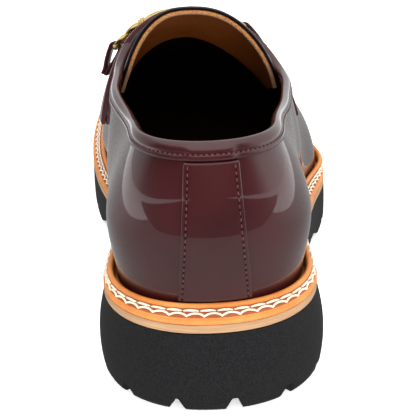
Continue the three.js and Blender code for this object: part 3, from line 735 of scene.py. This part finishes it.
# Share of the band's depth below the top line, millimetres above that, millimetres off the last
BAND_PROFILE = [
    (-1.0, 0.0, -0.1), (-1.0, 0.0, 0.7), (-1.0, 0.12, 1.0), (-1.0, 0.45, 1.2), (-0.84, 0.0, 1.3),
    (-0.73, 0.0, 1.26), (-0.67, 0.0, 1.08), (-0.61, 0.0, 1.28), (-0.48, 0.0, 1.5), (-0.34, 0.0, 1.58),
    (-0.2, 0.0, 1.5), (-0.08, 0.0, 1.3), (0.0, 0.1, 1.0), (0.0, 0.45, 0.5), (0.0, 0.65, -0.1),
    (0.0, 0.75, -0.8), (0.0, 0.6, -1.5), (0.0, 0.1, -2.2), (-0.3, 0.0, -2.5), (-1.1, 0.0, -2.45),
]
band_points = []
band_mid = []
band_out = []
for i in band_rays:
    v_top = TOP_SHARE[i]
    point = surf(i, v_top)
    tilt = min(0.9, abs(float(NORMALS[i, int(v_top * (ROWS - 1)), 2])))
    drop = float(band_drop(point[1])) / max(0.35, math.cos(math.asin(tilt)))
    drop = min(drop, BAND_MOST)
    bulge = ease((BULGE_HALF - abs(point[0] - BULGE_CENTRE)) / 2.2) if point[1] < 20 else 0.0
    row = []
    for part, extra, off in BAND_PROFILE:
        t = part * drop + extra
        if off > 0.3:
            off += bulge * ease((0.02 - part) / 0.6)
        if t <= 0:
            row.append(surf(i, v_top + t / step[i], off))
        else:
            up = surf(i, v_top) - surf(i, v_top - 0.01)
            up /= np.linalg.norm(up)
            row.append(surf(i, v_top, off) + up * t)
    band_points.append(row)
    band_mid.append(surf(i, v_top - BAND_STITCH_ROW * drop / step[i], 1.16 + bulge))
    band_out.append(NORMALS[i, int(v_top * (ROWS - 1))])
band_points = np.array(band_points)
make(
    "collar_binding", band_points, grid_faces(len(band_rays), len(BAND_PROFILE)), [OXBLOOD],
    node=["collar_band"],
)

# Back strip, tapering upward to the band, its top end rounded over
STRIP_LOW = 42.0
STRIP_HIGH = 93.9
STRIP_ROWS = 60
STITCH_INSET = 1.7
# Share of the half width, and millimetres off the last
STRIP_HALF = [
    (1, -0.1), (1, 0.7), (0.985, 1.15), (0.95, 1.4), (0.9, 1.3), (0.85, 1.38), (0.7, 1.45),
    (0.45, 1.48), (0.2, 1.5),
]
STRIP_PROFILE = [(-a, off) for a, off in STRIP_HALF] + [(0, 1.5)] + STRIP_HALF[::-1]
strip_points = []
stitch_lines = {-1: [], 1: []}
end_levels = STRIP_HIGH - np.array([1.0, 0.5, 0.15, 0, 0])
levels = np.concatenate([np.linspace(STRIP_LOW, STRIP_HIGH - 1.6, STRIP_ROWS - 5), end_levels])
level_off = np.concatenate([np.zeros(STRIP_ROWS - 4), [-0.12, -0.4, -0.8, -1.6]])
fan = np.concatenate([np.arange(first_back, COUNT), np.arange(0, FAN)])
for z, sunk in zip(levels, level_off):
    half = STRIP_FOOT + (STRIP_TOP - STRIP_FOOT) * (z - 38) / 66
    row = []
    ring = np.array([pick(z, LAST[i, :, 2], LAST[i]) for i in fan])
    norm = np.array([pick(z, LAST[i, :, 2], NORMALS[i]) for i in fan])

    def on_back(x, off):
        n = pick(x, ring[:, 0], norm)
        n /= np.linalg.norm(n)
        return pick(x, ring[:, 0], ring) + n * off, n

    for a, off in STRIP_PROFILE:
        row.append(on_back(STRIP_CENTRE + a * half, max(off + sunk, -0.1))[0])
    strip_points.append(row)
    for side in (-1, 1):
        stitch_lines[side].append(on_back(STRIP_CENTRE + side * (half - STITCH_INSET), 1.35))
make(
    "heel_strip", strip_points, grid_faces(STRIP_ROWS, len(STRIP_PROFILE)), [OXBLOOD],
    node=["back_strip"],
)

# Stitches: dark holes, painted shade for the shadow inside each needle hole, with a short light thread
# between them whose pinkish tone is partly the thread's colour and partly a painted highlight
STRIP_STITCH = 2.35
BAND_STITCH = 1.9
threads = Batch()
holes = Batch()
for side in (-1, 1):
    line = np.array([p for p, n in stitch_lines[side]])
    out = np.array([n for p, n in stitch_lines[side]])
    places, at = even(line, STRIP_STITCH, 0.8)
    for k in range(len(places) - 1):
        n = out[int(at[k])]
        a = places[k] + (places[k + 1] - places[k]) * 0.24
        b = places[k] + (places[k + 1] - places[k]) * 0.76
        threads.stitch(a, b, n, 0.24, 0.1)
        holes.tube([places[k] - n * 0.3, places[k] + n * 0.14], 0.42, 8, up=np.array([1.0, 0, 0]))
band_mid = np.array(band_mid)
band_out = np.array(band_out)
places, at = even(band_mid, BAND_STITCH, 1.0)
for k in range(len(places) - 1):
    n = band_out[int(at[k])]
    a = places[k] + (places[k + 1] - places[k]) * 0.2
    b = places[k] + (places[k + 1] - places[k]) * 0.8
    threads.stitch(a, b, n, 0.2, 0.02)
    holes.tube([places[k] - n * 0.3, places[k] + n * 0.1], 0.34, 8, up=np.array([0.0, 0, 1.0]))

# Tongue: glossy outside, its near-black a painted dark reflection over dark burgundy leather, dark rolled
# edge of black edge paint, tan lining with a rough edge
TONGUE_REAR = 118.0
TONGUE_FRONT = 166.0
TONGUE_CORNER = [(82, 130), (90, 123.5), (95.5, 119.5), (101, 118), (140, 118)]
LINED = 3.2
across = np.concatenate([np.linspace(0, 1, 60), np.linspace(1, 0, 60)[1:]])
sides = np.concatenate([np.ones(60), -np.ones(59)])


def tongue_point(side, a, back, off):
    """Share a from the lower end to the crown, a place behind which the rear edge is rounded off."""
    y = float(back)
    for _ in range(6):
        i = float(ray_at(y, side))
        low = float(share_at(i, 82 - 12 * (y - 130) / 42)[0])
        v = low + (1 - low) * a
        z = float(surf(i, v)[2])
        rear = np.interp(z, *zip(*TONGUE_CORNER))
        y = rear + (back - TONGUE_REAR) * (TONGUE_FRONT - rear) / (TONGUE_FRONT - TONGUE_REAR)
    return surf(float(ray_at(y, side)), v, off)


outer_off = -WALL - GAP
inner_off = outer_off - LINED
profile = [(y, inner_off) for y in np.linspace(TONGUE_FRONT, TONGUE_REAR + 3.2, 22)]
lining_from = len(profile)
for y, off in ((2.5, 0.04), (1.7, 0.14), (1.2, 0.45), (1.0, 0.95), (1.05, 1.5)):
    profile.append((TONGUE_REAR + y, inner_off + off))
edge_from = len(profile)
for y, off in ((0.8, 1.6), (0.35, 1.72), (0.06, 2.05), (0.0, 2.5), (0.15, 2.95), (0.6, 3.2)):
    profile.append((TONGUE_REAR + y, inner_off + off))
profile += [(y, outer_off) for y in np.linspace(TONGUE_REAR + 1.8, TONGUE_FRONT, 20)]
tongue_points = np.array([[tongue_point(q, a, y, off) for a, q in zip(across, sides)] for y, off in profile])
faces = grid_faces(len(profile), len(across))
rows_of = np.repeat(np.arange(len(profile) - 1), len(across) - 1)
kinds = np.where(rows_of < lining_from - 1, 0, np.where(rows_of < edge_from - 1, 1, 2))
make(
    "tongue_leather_and_painted_shade", tongue_points, faces, [LINING, SUEDE, BLACK_EDGE_AND_PAINTED_SHADE],
    indices=kinds, node=["tongue"],
)

# Saddle strap over the vamp
SADDLE_REAR = [(64, 137), (80, 138.5), (130, 146)]
SADDLE_FRONT = [(60, 165), (80, 168), (130, 174)]


def saddle_point(side, a, k, off):
    """Share a from end to crown, k from rear edge to front edge."""
    y = 150.0
    for _ in range(6):
        low_z = 64 - 4 * (y - 137) / 28
        i = float(ray_at(y, side))
        low = float(share_at(i, low_z)[0])
        v = low + (1 - low) * a
        z = float(surf(i, v)[2])
        rear = np.interp(z, *zip(*SADDLE_REAR))
        front = np.interp(z, *zip(*SADDLE_FRONT))
        y = rear + (front - rear) * k
    return surf(float(ray_at(y, side)), v, off)


# Share of the width from the rear edge, and millimetres off the last
SADDLE_PROFILE = [
    (0, 0.3), (0, 1.75), (0.004, 2.02), (0.016, 2.14), (0.035, 2.12), (0.06, 2.06), (0.1, 2.1),
    (0.2, 2.12), (0.35, 2.14), (0.5, 2.15), (0.65, 2.14), (0.8, 2.12), (0.9, 2.1), (0.94, 2.06),
    (0.965, 2.12), (0.984, 2.14), (0.996, 2.02), (1, 1.75), (1, 0.3),
]
ends = np.concatenate([[0, 0, 0.006, 0.015], np.linspace(0.03, 1, 50)])
end_off = np.concatenate([[-5, -0.5, -0.15, 0.0], np.zeros(50)])
saddle_points = []
for s, sequence in ((1, range(len(ends))), (-1, range(len(ends) - 2, -1, -1))):
    for e in sequence:
        row = []
        for k, off in SADDLE_PROFILE:
            row.append(saddle_point(s, ends[e], k, max(off + end_off[e], 0.3)))
        saddle_points.append(row)
saddle_points = np.array(saddle_points)
saddle_column = np.tile(np.arange(len(SADDLE_PROFILE) - 1), len(saddle_points) - 1)
cut_edge = (saddle_column == 0) | (saddle_column == len(SADDLE_PROFILE) - 2)
make(
    "saddle_strap", saddle_points, grid_faces(len(saddle_points), len(SADDLE_PROFILE)),
    [SADDLE_LEATHER, CUT_EDGE], indices=np.where(cut_edge, 1, 0), angle=40, node=["saddle"],
)

# Welt, midsole and sole, swept round the outline


def round_sweep(profile):
    """Rows of points round the shoe from (distance, height) functions of the rays."""
    return np.stack([along_rays(d, h) for d, h in profile], 1)


def welt_h(up):
    return lambda y, x: sole_top(y) + MIDSOLE + up


WELT_FOOT = [(-WALL, 0, GAP), (0, 1, GAP), (0, 1, 0.8), (0, 1, 1.4), (-0.12, 1, 1.75)]
WELT_BEAD = [
    (2.86, 0, 4.75), (2.76, 0, 5.15), (2.5, 0, 5.6), (2.1, 0, 5.92), (1.7, 0, 6.0), (1.25, 0, 5.9),
    (0.85, 0, 5.4), (0.6, 0, 4.4), (0.5, 0, 3.2),
]


def on_welt(down, lift=0.0):
    """Points on the sloping face, from the foot of the bead (0) to the edge (1), lifted off it."""
    start, end = REACH + 2.9, REACH + WELTS - 0.4
    high, low = WELT + BEAD_FOOT, WELT_EDGE
    run = end - start
    size = np.hypot(run, high - low)
    distance = start + run * down + lift * (high - low) / size
    up = high + (low - high) * down + lift * run / size
    return along_rays(distance, lambda y, x: sole_top(y) + MIDSOLE + up)


EDGE = REACH + WELTS
foot_rows = round_sweep([(REACH + o + e * WELTS, welt_h(u)) for o, e, u in WELT_FOOT])
FACE_STEPS = (1.0, 0.8, 0.6, 0.4, 0.2, 0.0)
face_rows = np.stack([on_welt(down, -0.1 * math.sin(down * math.pi)) for down in FACE_STEPS], 1)
bead_rows = round_sweep([(REACH + o + e * WELTS, welt_h(u)) for o, e, u in WELT_BEAD])
welt_rows = np.concatenate([foot_rows, face_rows, bead_rows], 1)
welt_columns = welt_rows.shape[1]
welt_column = np.arange(welt_columns - 1)
on_face = np.tile((welt_column > len(WELT_FOOT)) & (welt_column <= len(WELT_FOOT) + 5), COUNT)
make(
    "storm_welt", welt_rows, grid_faces(COUNT, welt_columns, closed_rows=True), [WELT_LEATHER, WELT_FACE],
    indices=np.where(on_face, 1, 0), node=["welt"],
)

MID_PROFILE = [
    (-10, 3.6), (-0.5, 3.6), (-0.12, 3.5), (0.0, 3.2), (0.05, 1.9), (0.0, 0.7), (-0.12, 0.4),
    (-0.5, 0.3), (-10, 0.3),
]
mid_rows = round_sweep([(np.maximum(EDGE + d, 2), lambda y, x, u=u: sole_top(y) + u) for d, u in MID_PROFILE])
make(
    "midsole_layer", mid_rows, grid_faces(COUNT, len(MID_PROFILE), closed_rows=True), [MIDSOLE_LAYER],
    node=["midsole"],
)

# Outsole: samples round the edge, closer at the notches
edge_line = along_rays(EDGE, sole_foot)
closed = np.vstack([edge_line, edge_line[:1]])
edge_s = run_length(closed)
edge_length = edge_s[-1]
notch_count = int(edge_length // NOTCH_PITCH)


def apart(a, b):
    """Shortest way round the edge between places on it."""
    return np.abs((a - b + edge_length / 2) % edge_length - edge_length / 2)


notches = []
for k in range(notch_count):
    s = (NOTCH_START + k * edge_length / notch_count) % edge_length
    p = pick(s, edge_s, closed)
    if not (p[1] > HEEL_BREAST - 6 and p[1] + ARCH_SLANT * p[0] < 168):
        notches.append(s)
NOTCH = [(0, 6.2), (0.6, 6.17), (1.1, 5.95), (1.5, 5.45), (1.8, 4.7), (3.1, 0.7), (3.4, 0.0)]
samples = set(np.round(np.arange(0, edge_length, 2.0), 3).tolist())
for s in notches:
    samples = {q for q in samples if apart(q, s) > 3.8}
    for d, _ in NOTCH:
        samples.add(round((s + d) % edge_length, 3))
        samples.add(round((s - d) % edge_length, 3))
    samples.add(round((s + 3.6) % edge_length, 3))
    samples.add(round((s - 3.6) % edge_length, 3))
samples = np.array(sorted(samples))
away = np.min(apart(samples[:, None], np.array(notches)[None, :]), axis=1)
notch_h = np.interp(away, [d for d, _ in NOTCH], [h for _, h in NOTCH])
at = np.interp(samples, edge_s, np.arange(COUNT + 1))


def ray_mix(column, at):
    wrapped = np.concatenate([column, column[:1]])
    return np.interp(at, np.arange(COUNT + 1), wrapped)


s_foot, s_dx, s_dy, s_edge = (ray_mix(c, at) for c in (FOOT, DX, DY, EDGE))


def sole_points(distance, height):
    y = s_foot + s_dy * distance
    x = s_dx * distance
    return np.stack([x + swing(y), y, height(y, x)], -1)


flare = spline([0, 0.05, 0.13, 0.36, 0.72, 1.0], [-0.8, 0.9, 1.9, FLARE, 2.0, 0.0])
rows = [sole_points(0 * s_edge + 1e-3, lambda y, x: sole_top(y))]
rows.append(sole_points(s_edge - 8, lambda y, x: sole_top(y)))
SIDE_SHARES = [1.0, 0.985, 0.94, 0.86, 0.76, 0.65, 0.54, 0.43, 0.33, 0.24, 0.16, 0.1, 0.05, 0.02, 0.0]
for share in SIDE_SHARES:
    y0 = s_foot + s_dy * s_edge
    x0 = s_dx * s_edge
    low = sole_foot(y0, x0)
    full = sole_top(y0) - low
    real = (notch_h + share * (full - notch_h)) / full
    swell = flare(real)
    front = 1 - (1 - FRONT_FLARE) * ease((s_foot - 60) / 60)
    swell = np.where(swell > 0, swell * front, swell)
    out = s_edge + swell * np.where(share < 0.999, 1, 0)
    z = low + real * full
    rows.append(sole_points(out, lambda y, x, z=z: z))
for inward, with_notch, sunk in (
    (2.2, 1, 0), (6, 1, 0), (10.6, 1, 0), (11.2, 0, 0), (EDGE_LUG - 0.1, 0, 0), (EDGE_LUG + 0.5, 0, 1),
):
    rows.append(
        sole_points(
            np.maximum(s_edge - inward, 3.5),
            lambda y, x, w=with_notch, k=sunk: sole_foot(y, x) + notch_h * w + (LUG_DEPTH - 1) * k,
        )
    )
for part in (0.75, 0.5, 0.25, 0.02):
    inner = np.maximum(s_edge - EDGE_LUG - 1, 3) * part
    rows.append(sole_points(inner, lambda y, x: sole_foot(y, x) + LUG_DEPTH - 1))
sole_rows = np.stack(rows, 1)
sole_all = Batch()
sole_all.grid(sole_rows, closed_rows=True)
for y, width in BLOCK_PLACES:
    middle = float(section["lateral"](y) - section["medial"](y)) / 2 + float(swing(y))
    w, l, b = width / 2, 5.5, 3
    half = [(-w + b, -l), (w - b, -l), (w, -l + b), (w, l - b)]
    octagon = half + [(-px, -py) for px, py in half]
    ring = []
    for inset, z in ((0.97, 0.0), (1.0, 0.4), (1.04, LUG_DEPTH)):
        ring.append([(middle + px * inset, y + py * inset, z) for px, py in octagon])
    sole_all.grid(np.array(ring), closed_columns=True)
    start = len(sole_all.points)
    sole_all.points += [list(p) for p in ring[0]]
    sole_all.faces.append(tuple(range(start, start + 8)))
sole_all.make("lug_sole", RUBBER, "outsole", angle=32, node=["outsole"])

# Welt stitching: straight inner stitches and a scalloped outer thread
cream = Batch()
STITCH = 6.1
INNER_ROW = 0.2
SCALLOP_NEAR, SCALLOP_FAR = 0.42, 0.68
inner_line = on_welt(INNER_ROW, 0.12)
inner_up = on_welt(INNER_ROW, 1.12) - inner_line
places, at = even(inner_line, STITCH, 1.0, closed=True)
count = len(places)
for k in range(count):
    a, b = places[k], places[(k + 1) % count]
    cream.stitch(a + (b - a) * 0.05, a + (b - a) * 0.95, inner_up[int(at[k]) % COUNT], 0.48, 0.12)
near_line, far_line = on_welt(SCALLOP_NEAR, 0.22), on_welt(SCALLOP_FAR, 0.22)
face_up = on_welt(0.5, 1.0) - on_welt(0.5)
path, path_up = [], []
index_of = np.concatenate([at, [at[0] + COUNT]])
for k in range(count):
    for t in np.linspace(0, 1, 13)[:-1]:
        u = index_of[k] + (index_of[k + 1] - index_of[k]) * (t + 0.3)
        i = int(u) % COUNT
        j = (i + 1) % COUNT
        w = u - math.floor(u)
        bow = 1 - math.sin(t * math.pi) ** 0.75
        near = near_line[i] * (1 - w) + near_line[j] * w
        far = far_line[i] * (1 - w) + far_line[j] * w
        path.append(near + (far - near) * bow)
        path_up.append(face_up[i])
cream.tube(path, 0.42, 8, up=np.array(path_up), closed=True)
cream.make("welt_stitching", CREAM_THREAD, "thread")

threads.make("leather_stitches", OXBLOOD_THREAD_PAINTED_SHEEN, "thread")
holes.make("stitch_holes", STITCH_HOLE_PAINTED_SHADE, "thread")

# Horsebit on its curve over the vamp


def cross_curve(y, lift, rise):
    points = []
    for s, shares in ((-1, np.linspace(0.25, 1, 80)), (1, np.linspace(1, 0.25, 80)[1:])):
        for v in shares:
            points.append(surf(float(ray_at(y, s)), v))
    points = np.array(points)
    # evened, so the bar bends gently over the crown
    for _ in range(30):
        points[1:-1] = points[1:-1] * 0.5 + (points[2:] + points[:-2]) * 0.25
    length = run_length(points)
    even_t = np.linspace(0, 1, 400)
    points = pick(even_t, length / length[-1], points)
    tangent = np.gradient(points, axis=0)
    out = np.stack([-tangent[:, 2], 0 * tangent[:, 0], tangent[:, 0]], -1)
    out /= np.linalg.norm(out, axis=1, keepdims=True)
    return points + out * (lift + rise * (2 * even_t - 1) ** 2)[:, None]


bit_line = cross_curve(BIT_PLACE, BIT_LIFT, BIT_RISE)
bit_behind = cross_curve(BIT_PLACE - 4, BIT_LIFT, BIT_RISE)
bit_ahead = cross_curve(BIT_PLACE + 4, BIT_LIFT, BIT_RISE)
bit_s = run_length(bit_line)
top_s = bit_s[np.argmax(bit_line[:, 2])]


def on_bit(length):
    s = top_s + length + BIT_SHIFT
    at = pick(s, bit_s, bit_line)
    along = pick(s + 0.5, bit_s, bit_line) - at
    along[1] = 0
    along /= np.linalg.norm(along)
    slope = pick(s, bit_s, bit_ahead - bit_behind)
    out = np.cross(along, slope)
    out /= np.linalg.norm(out)
    return at, along, np.cross(out, along), out


# Length from the bar's middle, and radius: end, barrel, knot of three rolls, half of the bar
BAR = [
    (25.9, 0.5), (25.7, 1.1), (25.2, 1.5), (24.3, 1.75), (22.6, 2.05), (20.9, 2.1), (19.2, 2.0),
    (17.9, 1.6), (17.5, 1.5), (17.3, 1.9), (17.0, 2.25), (16.6, 2.3), (16.3, 1.95), (16.05, 2.3),
    (15.7, 2.5), (15.35, 2.3), (15.1, 1.95), (14.8, 2.3), (14.4, 2.25), (14.1, 1.9), (13.9, 1.5),
    (13.4, 1.55), (11.5, 1.9), (9.0, 2.0), (6.5, 1.85), (4.5, 1.65), (2.2, 1.55), (0.0, 1.55),
]
stops = [(-s, r) for s, r in BAR] + [(s, r) for s, r in BAR[::-1][1:]]
metal = Batch()
rings = []
for s, r in stops:
    at, along, forward, out = on_bit(s)
    angle = np.arange(20) / 20 * 2 * math.pi
    rings.append(at + r * (np.cos(angle)[:, None] * forward + np.sin(angle)[:, None] * out))
metal.grid(np.array(rings), closed_columns=True)


def ring_path(side):
    at, along, forward, out = on_bit(side * (BIT_END - RING_LENGTH / 2))
    l = RING_LENGTH / 2 - RING_WIRE / 2
    w = RING_WIDTH / 2 - RING_WIRE / 2
    angle = np.linspace(0, 2 * math.pi, 65)[:-1]
    x = l * np.sign(np.cos(angle)) * np.abs(np.cos(angle)) ** (2 / RING_SQUARE)
    y = w * np.sign(np.sin(angle)) * np.abs(np.sin(angle)) ** (2 / RING_SQUARE)
    return at + x[:, None] * along + y[:, None] * forward, out


for side in (-1, 1):
    path, out = ring_path(side)
    metal.tube(path, RING_WIRE / 2, 14, up=out, closed=True)
metal.make("horsebit_metal", GOLD, "horsebit", node=["horsebit"])

# Leather loops round the rings
for side, name in ((-1, "medial"), (1, "lateral")):
    at, along, forward, out = on_bit(side * (BIT_END - RING_LENGTH / 2))
    wire = at + along * side * (RING_LENGTH - RING_WIRE) * 0.5
    low = cross_curve(BIT_PLACE, GAP + SADDLE + LOOP_LEATHER + 0.8, 0)
    low_s = run_length(low)
    near = low_s[np.argmin(np.linalg.norm(low - wire, axis=1))]
    end = pick(near + side * LOOP_TAIL, low_s, low)
    spread = forward * side
    tail = end - wire
    tail -= spread * np.dot(tail, spread)
    long = np.linalg.norm(tail)
    tail /= long
    thick = np.cross(spread, tail)
    hole = RING_WIRE / 2 + 0.5
    middle = hole + LOOP_LEATHER / 2
    angle = np.linspace(math.pi / 2, math.pi * 1.5, 21)
    flap = [
        (long, LOOP_LEATHER * 0.5), (long * 0.8, LOOP_LEATHER * 0.55), (long * 0.5, middle * 0.72),
        (long * 0.22, middle * 0.94),
    ]
    bend = [(middle * math.cos(a), middle * math.sin(a)) for a in angle]
    line = np.array(flap + bend + [(a, -b) for a, b in flap[::-1]])
    tangent = np.gradient(line, axis=0)
    tangent /= np.linalg.norm(tangent, axis=1, keepdims=True)
    normal = np.stack([-tangent[:, 1], tangent[:, 0]], -1)
    w, h = LOOP_WIDTH / 2, LOOP_LEATHER / 2
    rim = [
        (-w, -h * 0.6), (-w + 0.3, -h), (w - 0.3, -h), (w, -h * 0.6),
        (w, h * 0.6), (w - 0.3, h), (-w + 0.3, h), (-w, h * 0.6),
    ]
    grid = []
    for p, n in zip(line, normal):
        row = []
        for a, b in rim:
            q = p + n * b
            row.append(wire + tail * q[0] + thick * q[1] + spread * a)
        grid.append(row)
    loop = Batch()
    loop.grid(np.array(grid), closed_columns=True)
    for k in (0, len(grid) - 1):
        start = len(loop.points)
        loop.points += [list(p) for p in grid[k]]
        loop.faces.append(tuple(range(start, start + len(rim))))
    loop.make("loop_" + name, LOOP_LEATHER_MAT, "bit_loop", angle=50, node=["bit_loop_" + name])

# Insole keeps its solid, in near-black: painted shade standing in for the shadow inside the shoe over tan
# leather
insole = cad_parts["insole"]
insole.data.materials.clear()
insole.data.materials.append(PAINTED_SHADE_LINING)

# Stage: floor, world, lights and camera


def plane(name, low, high, z, material):
    x0, y0 = low
    x1, y1 = high
    mesh = bpy.data.meshes.new(name)
    mesh.from_pydata([(x0, y0, z), (x1, y0, z), (x1, y1, z), (x0, y1, z)], [], [(0, 1, 2, 3)])
    mesh.materials.append(material)
    obj = bpy.data.objects.new(name, mesh)
    bpy.context.collection.objects.link(obj)
    return obj


floor_mat, nodes, links, bsdf = shader("pale_floor")
bsdf.inputs["Base Color"].default_value = (0.9, 0.9, 0.9, 1)
bsdf.inputs["Roughness"].default_value = 0.9
bsdf.inputs["Specular IOR Level"].default_value = 0.0
bsdf.inputs["Emission Color"].default_value = (1, 1, 1, 1)
bsdf.inputs["Emission Strength"].default_value = 0.55
plane("floor", (-6, -6), (6, 6), 0.0, floor_mat)


def reflected_card(name, low, high, z, shade, glow):
    """A card over the floor that only reflections see."""
    material, _, _, bsdf = shader(name)
    bsdf.inputs["Base Color"].default_value = (shade, shade, shade, 1)
    bsdf.inputs["Roughness"].default_value = 1.0
    bsdf.inputs["Specular IOR Level"].default_value = 0.0
    bsdf.inputs["Emission Color"].default_value = (1, 1, 1, 1)
    bsdf.inputs["Emission Strength"].default_value = glow
    card = plane(name, low, high, z, material)
    card.visible_camera = False
    card.visible_diffuse = False
    card.visible_shadow = False


reflected_card("dark_card", (-1.5, -6.0), (1.5, -0.36), 0.001, 0.004, 0)
reflected_card("grey_card", (-0.5, -0.36), (0.5, 0.6), 0.0005, 0, 0.38)

# World: white where the camera looks, dark behind it, and bright ahead, overhead and more so to the right
world = bpy.data.worlds.new("studio")
bpy.context.scene.world = world
world.use_nodes = True
nodes, links = world.node_tree.nodes, world.node_tree.links
nodes.clear()


def smooth_range(source, low, high, out_low=0.0, out_high=1.0):
    n = add(nodes, "ShaderNodeMapRange", interpolation_type="SMOOTHSTEP")
    ends = (("From Min", low), ("From Max", high), ("To Min", out_low), ("To Max", out_high))
    for name, value in ends:
        n.inputs[name].default_value = value
    links.new(source, n.inputs["Value"])
    return n.outputs["Result"]


def combine(operation, a, b):
    n = add(nodes, "ShaderNodeMath", operation=operation)
    links.new(a, n.inputs[0])
    links.new(b, n.inputs[1])
    return n.outputs["Value"]


TURN = 0.28
place = nodes.new("ShaderNodeTexCoord")
split = nodes.new("ShaderNodeSeparateXYZ")
links.new(place.outputs["Generated"], split.inputs["Vector"])
turned = add(nodes, "ShaderNodeMath", operation="MULTIPLY_ADD")
turned.inputs[1].default_value = TURN
links.new(split.outputs["X"], turned.inputs[0])
links.new(split.outputs["Y"], turned.inputs[2])
ahead = smooth_range(turned.outputs["Value"], -0.5, 0.0)
sideways = smooth_range(split.outputs["X"], -0.6, 0.6, 0.5, 0.95)
above = smooth_range(split.outputs["Z"], 0.52, 0.7)
brightest = combine("MAXIMUM", combine("MULTIPLY", ahead, sideways), above)
rays_kind = nodes.new("ShaderNodeLightPath")
seen = combine("MAXIMUM", brightest, rays_kind.outputs["Is Camera Ray"])
tone = ramp(nodes, links, seen, [(0.0, (0.02, 0.02, 0.02)), (1.0, (1.0, 1.0, 1.0))])
background = nodes.new("ShaderNodeBackground")
background.inputs["Strength"].default_value = 1.0
links.new(tone.outputs["Color"], background.inputs["Color"])
output = nodes.new("ShaderNodeOutputWorld")
links.new(background.outputs["Background"], output.inputs["Surface"])


# Soft lamps that reflections do not see: name, place, aim, size, power
LAMPS = [
    ("fill_behind", (0.0, -1.1, 0.75), (0, -0.1, 0.05), (0.8, 0.6), 8),
    ("low_fill", (0.1, -1.1, 0.24), (0, -0.05, 0.1), (0.6, 0.3), 5),
    ("top_light", (0.0, 0.05, 1.1), (0, 0, 0.05), (0.8, 0.8), 8),
]
for name, spot, aim, size, power in LAMPS:
    data = bpy.data.lights.new(name, "AREA")
    data.shape = "RECTANGLE"
    data.size, data.size_y = size
    data.energy = power
    lamp = bpy.data.objects.new(name, data)
    lamp.location = spot
    lamp.rotation_euler = (Vector(aim) - Vector(spot)).to_track_quat("-Z", "Y").to_euler()
    lamp.visible_glossy = False
    bpy.context.collection.objects.link(lamp)

# Camera at the photograph's angle
AZIMUTH, ELEVATION, ROLL = math.radians(-1.958), math.radians(23.693), math.radians(-1.713)
DISTANCE = 0.561339
FOCAL_PIXELS = 1181.765
FRAME_PIXELS = 416
SENSOR = 36
TARGET = (np.array([3.978, 148.3, 15.924]) + SHIFT) / 1000
back = Vector(
    (
        math.sin(AZIMUTH) * math.cos(ELEVATION),
        -math.cos(AZIMUTH) * math.cos(ELEVATION),
        math.sin(ELEVATION),
    )
)
right = Vector((math.cos(AZIMUTH), math.sin(AZIMUTH), 0))
up = back.cross(right)
turned_right = right * math.cos(ROLL) + up * math.sin(ROLL)
turned_up = up * math.cos(ROLL) - right * math.sin(ROLL)
spot = Vector(TARGET.tolist()) + back * DISTANCE
camera_data = bpy.data.cameras.new("camera")
camera_data.sensor_fit = "HORIZONTAL"
camera_data.sensor_width = SENSOR
camera_data.lens = FOCAL_PIXELS / FRAME_PIXELS * SENSOR
camera_data.clip_start = 0.01
camera = bpy.data.objects.new("camera", camera_data)
camera.matrix_world = Matrix(
    (
        (turned_right.x, turned_up.x, back.x, spot.x),
        (turned_right.y, turned_up.y, back.y, spot.y),
        (turned_right.z, turned_up.z, back.z, spot.z),
        (0, 0, 0, 1),
    )
)
bpy.context.collection.objects.link(camera)
bpy.context.scene.camera = camera
bpy.context.scene.view_settings.view_transform = "Standard"
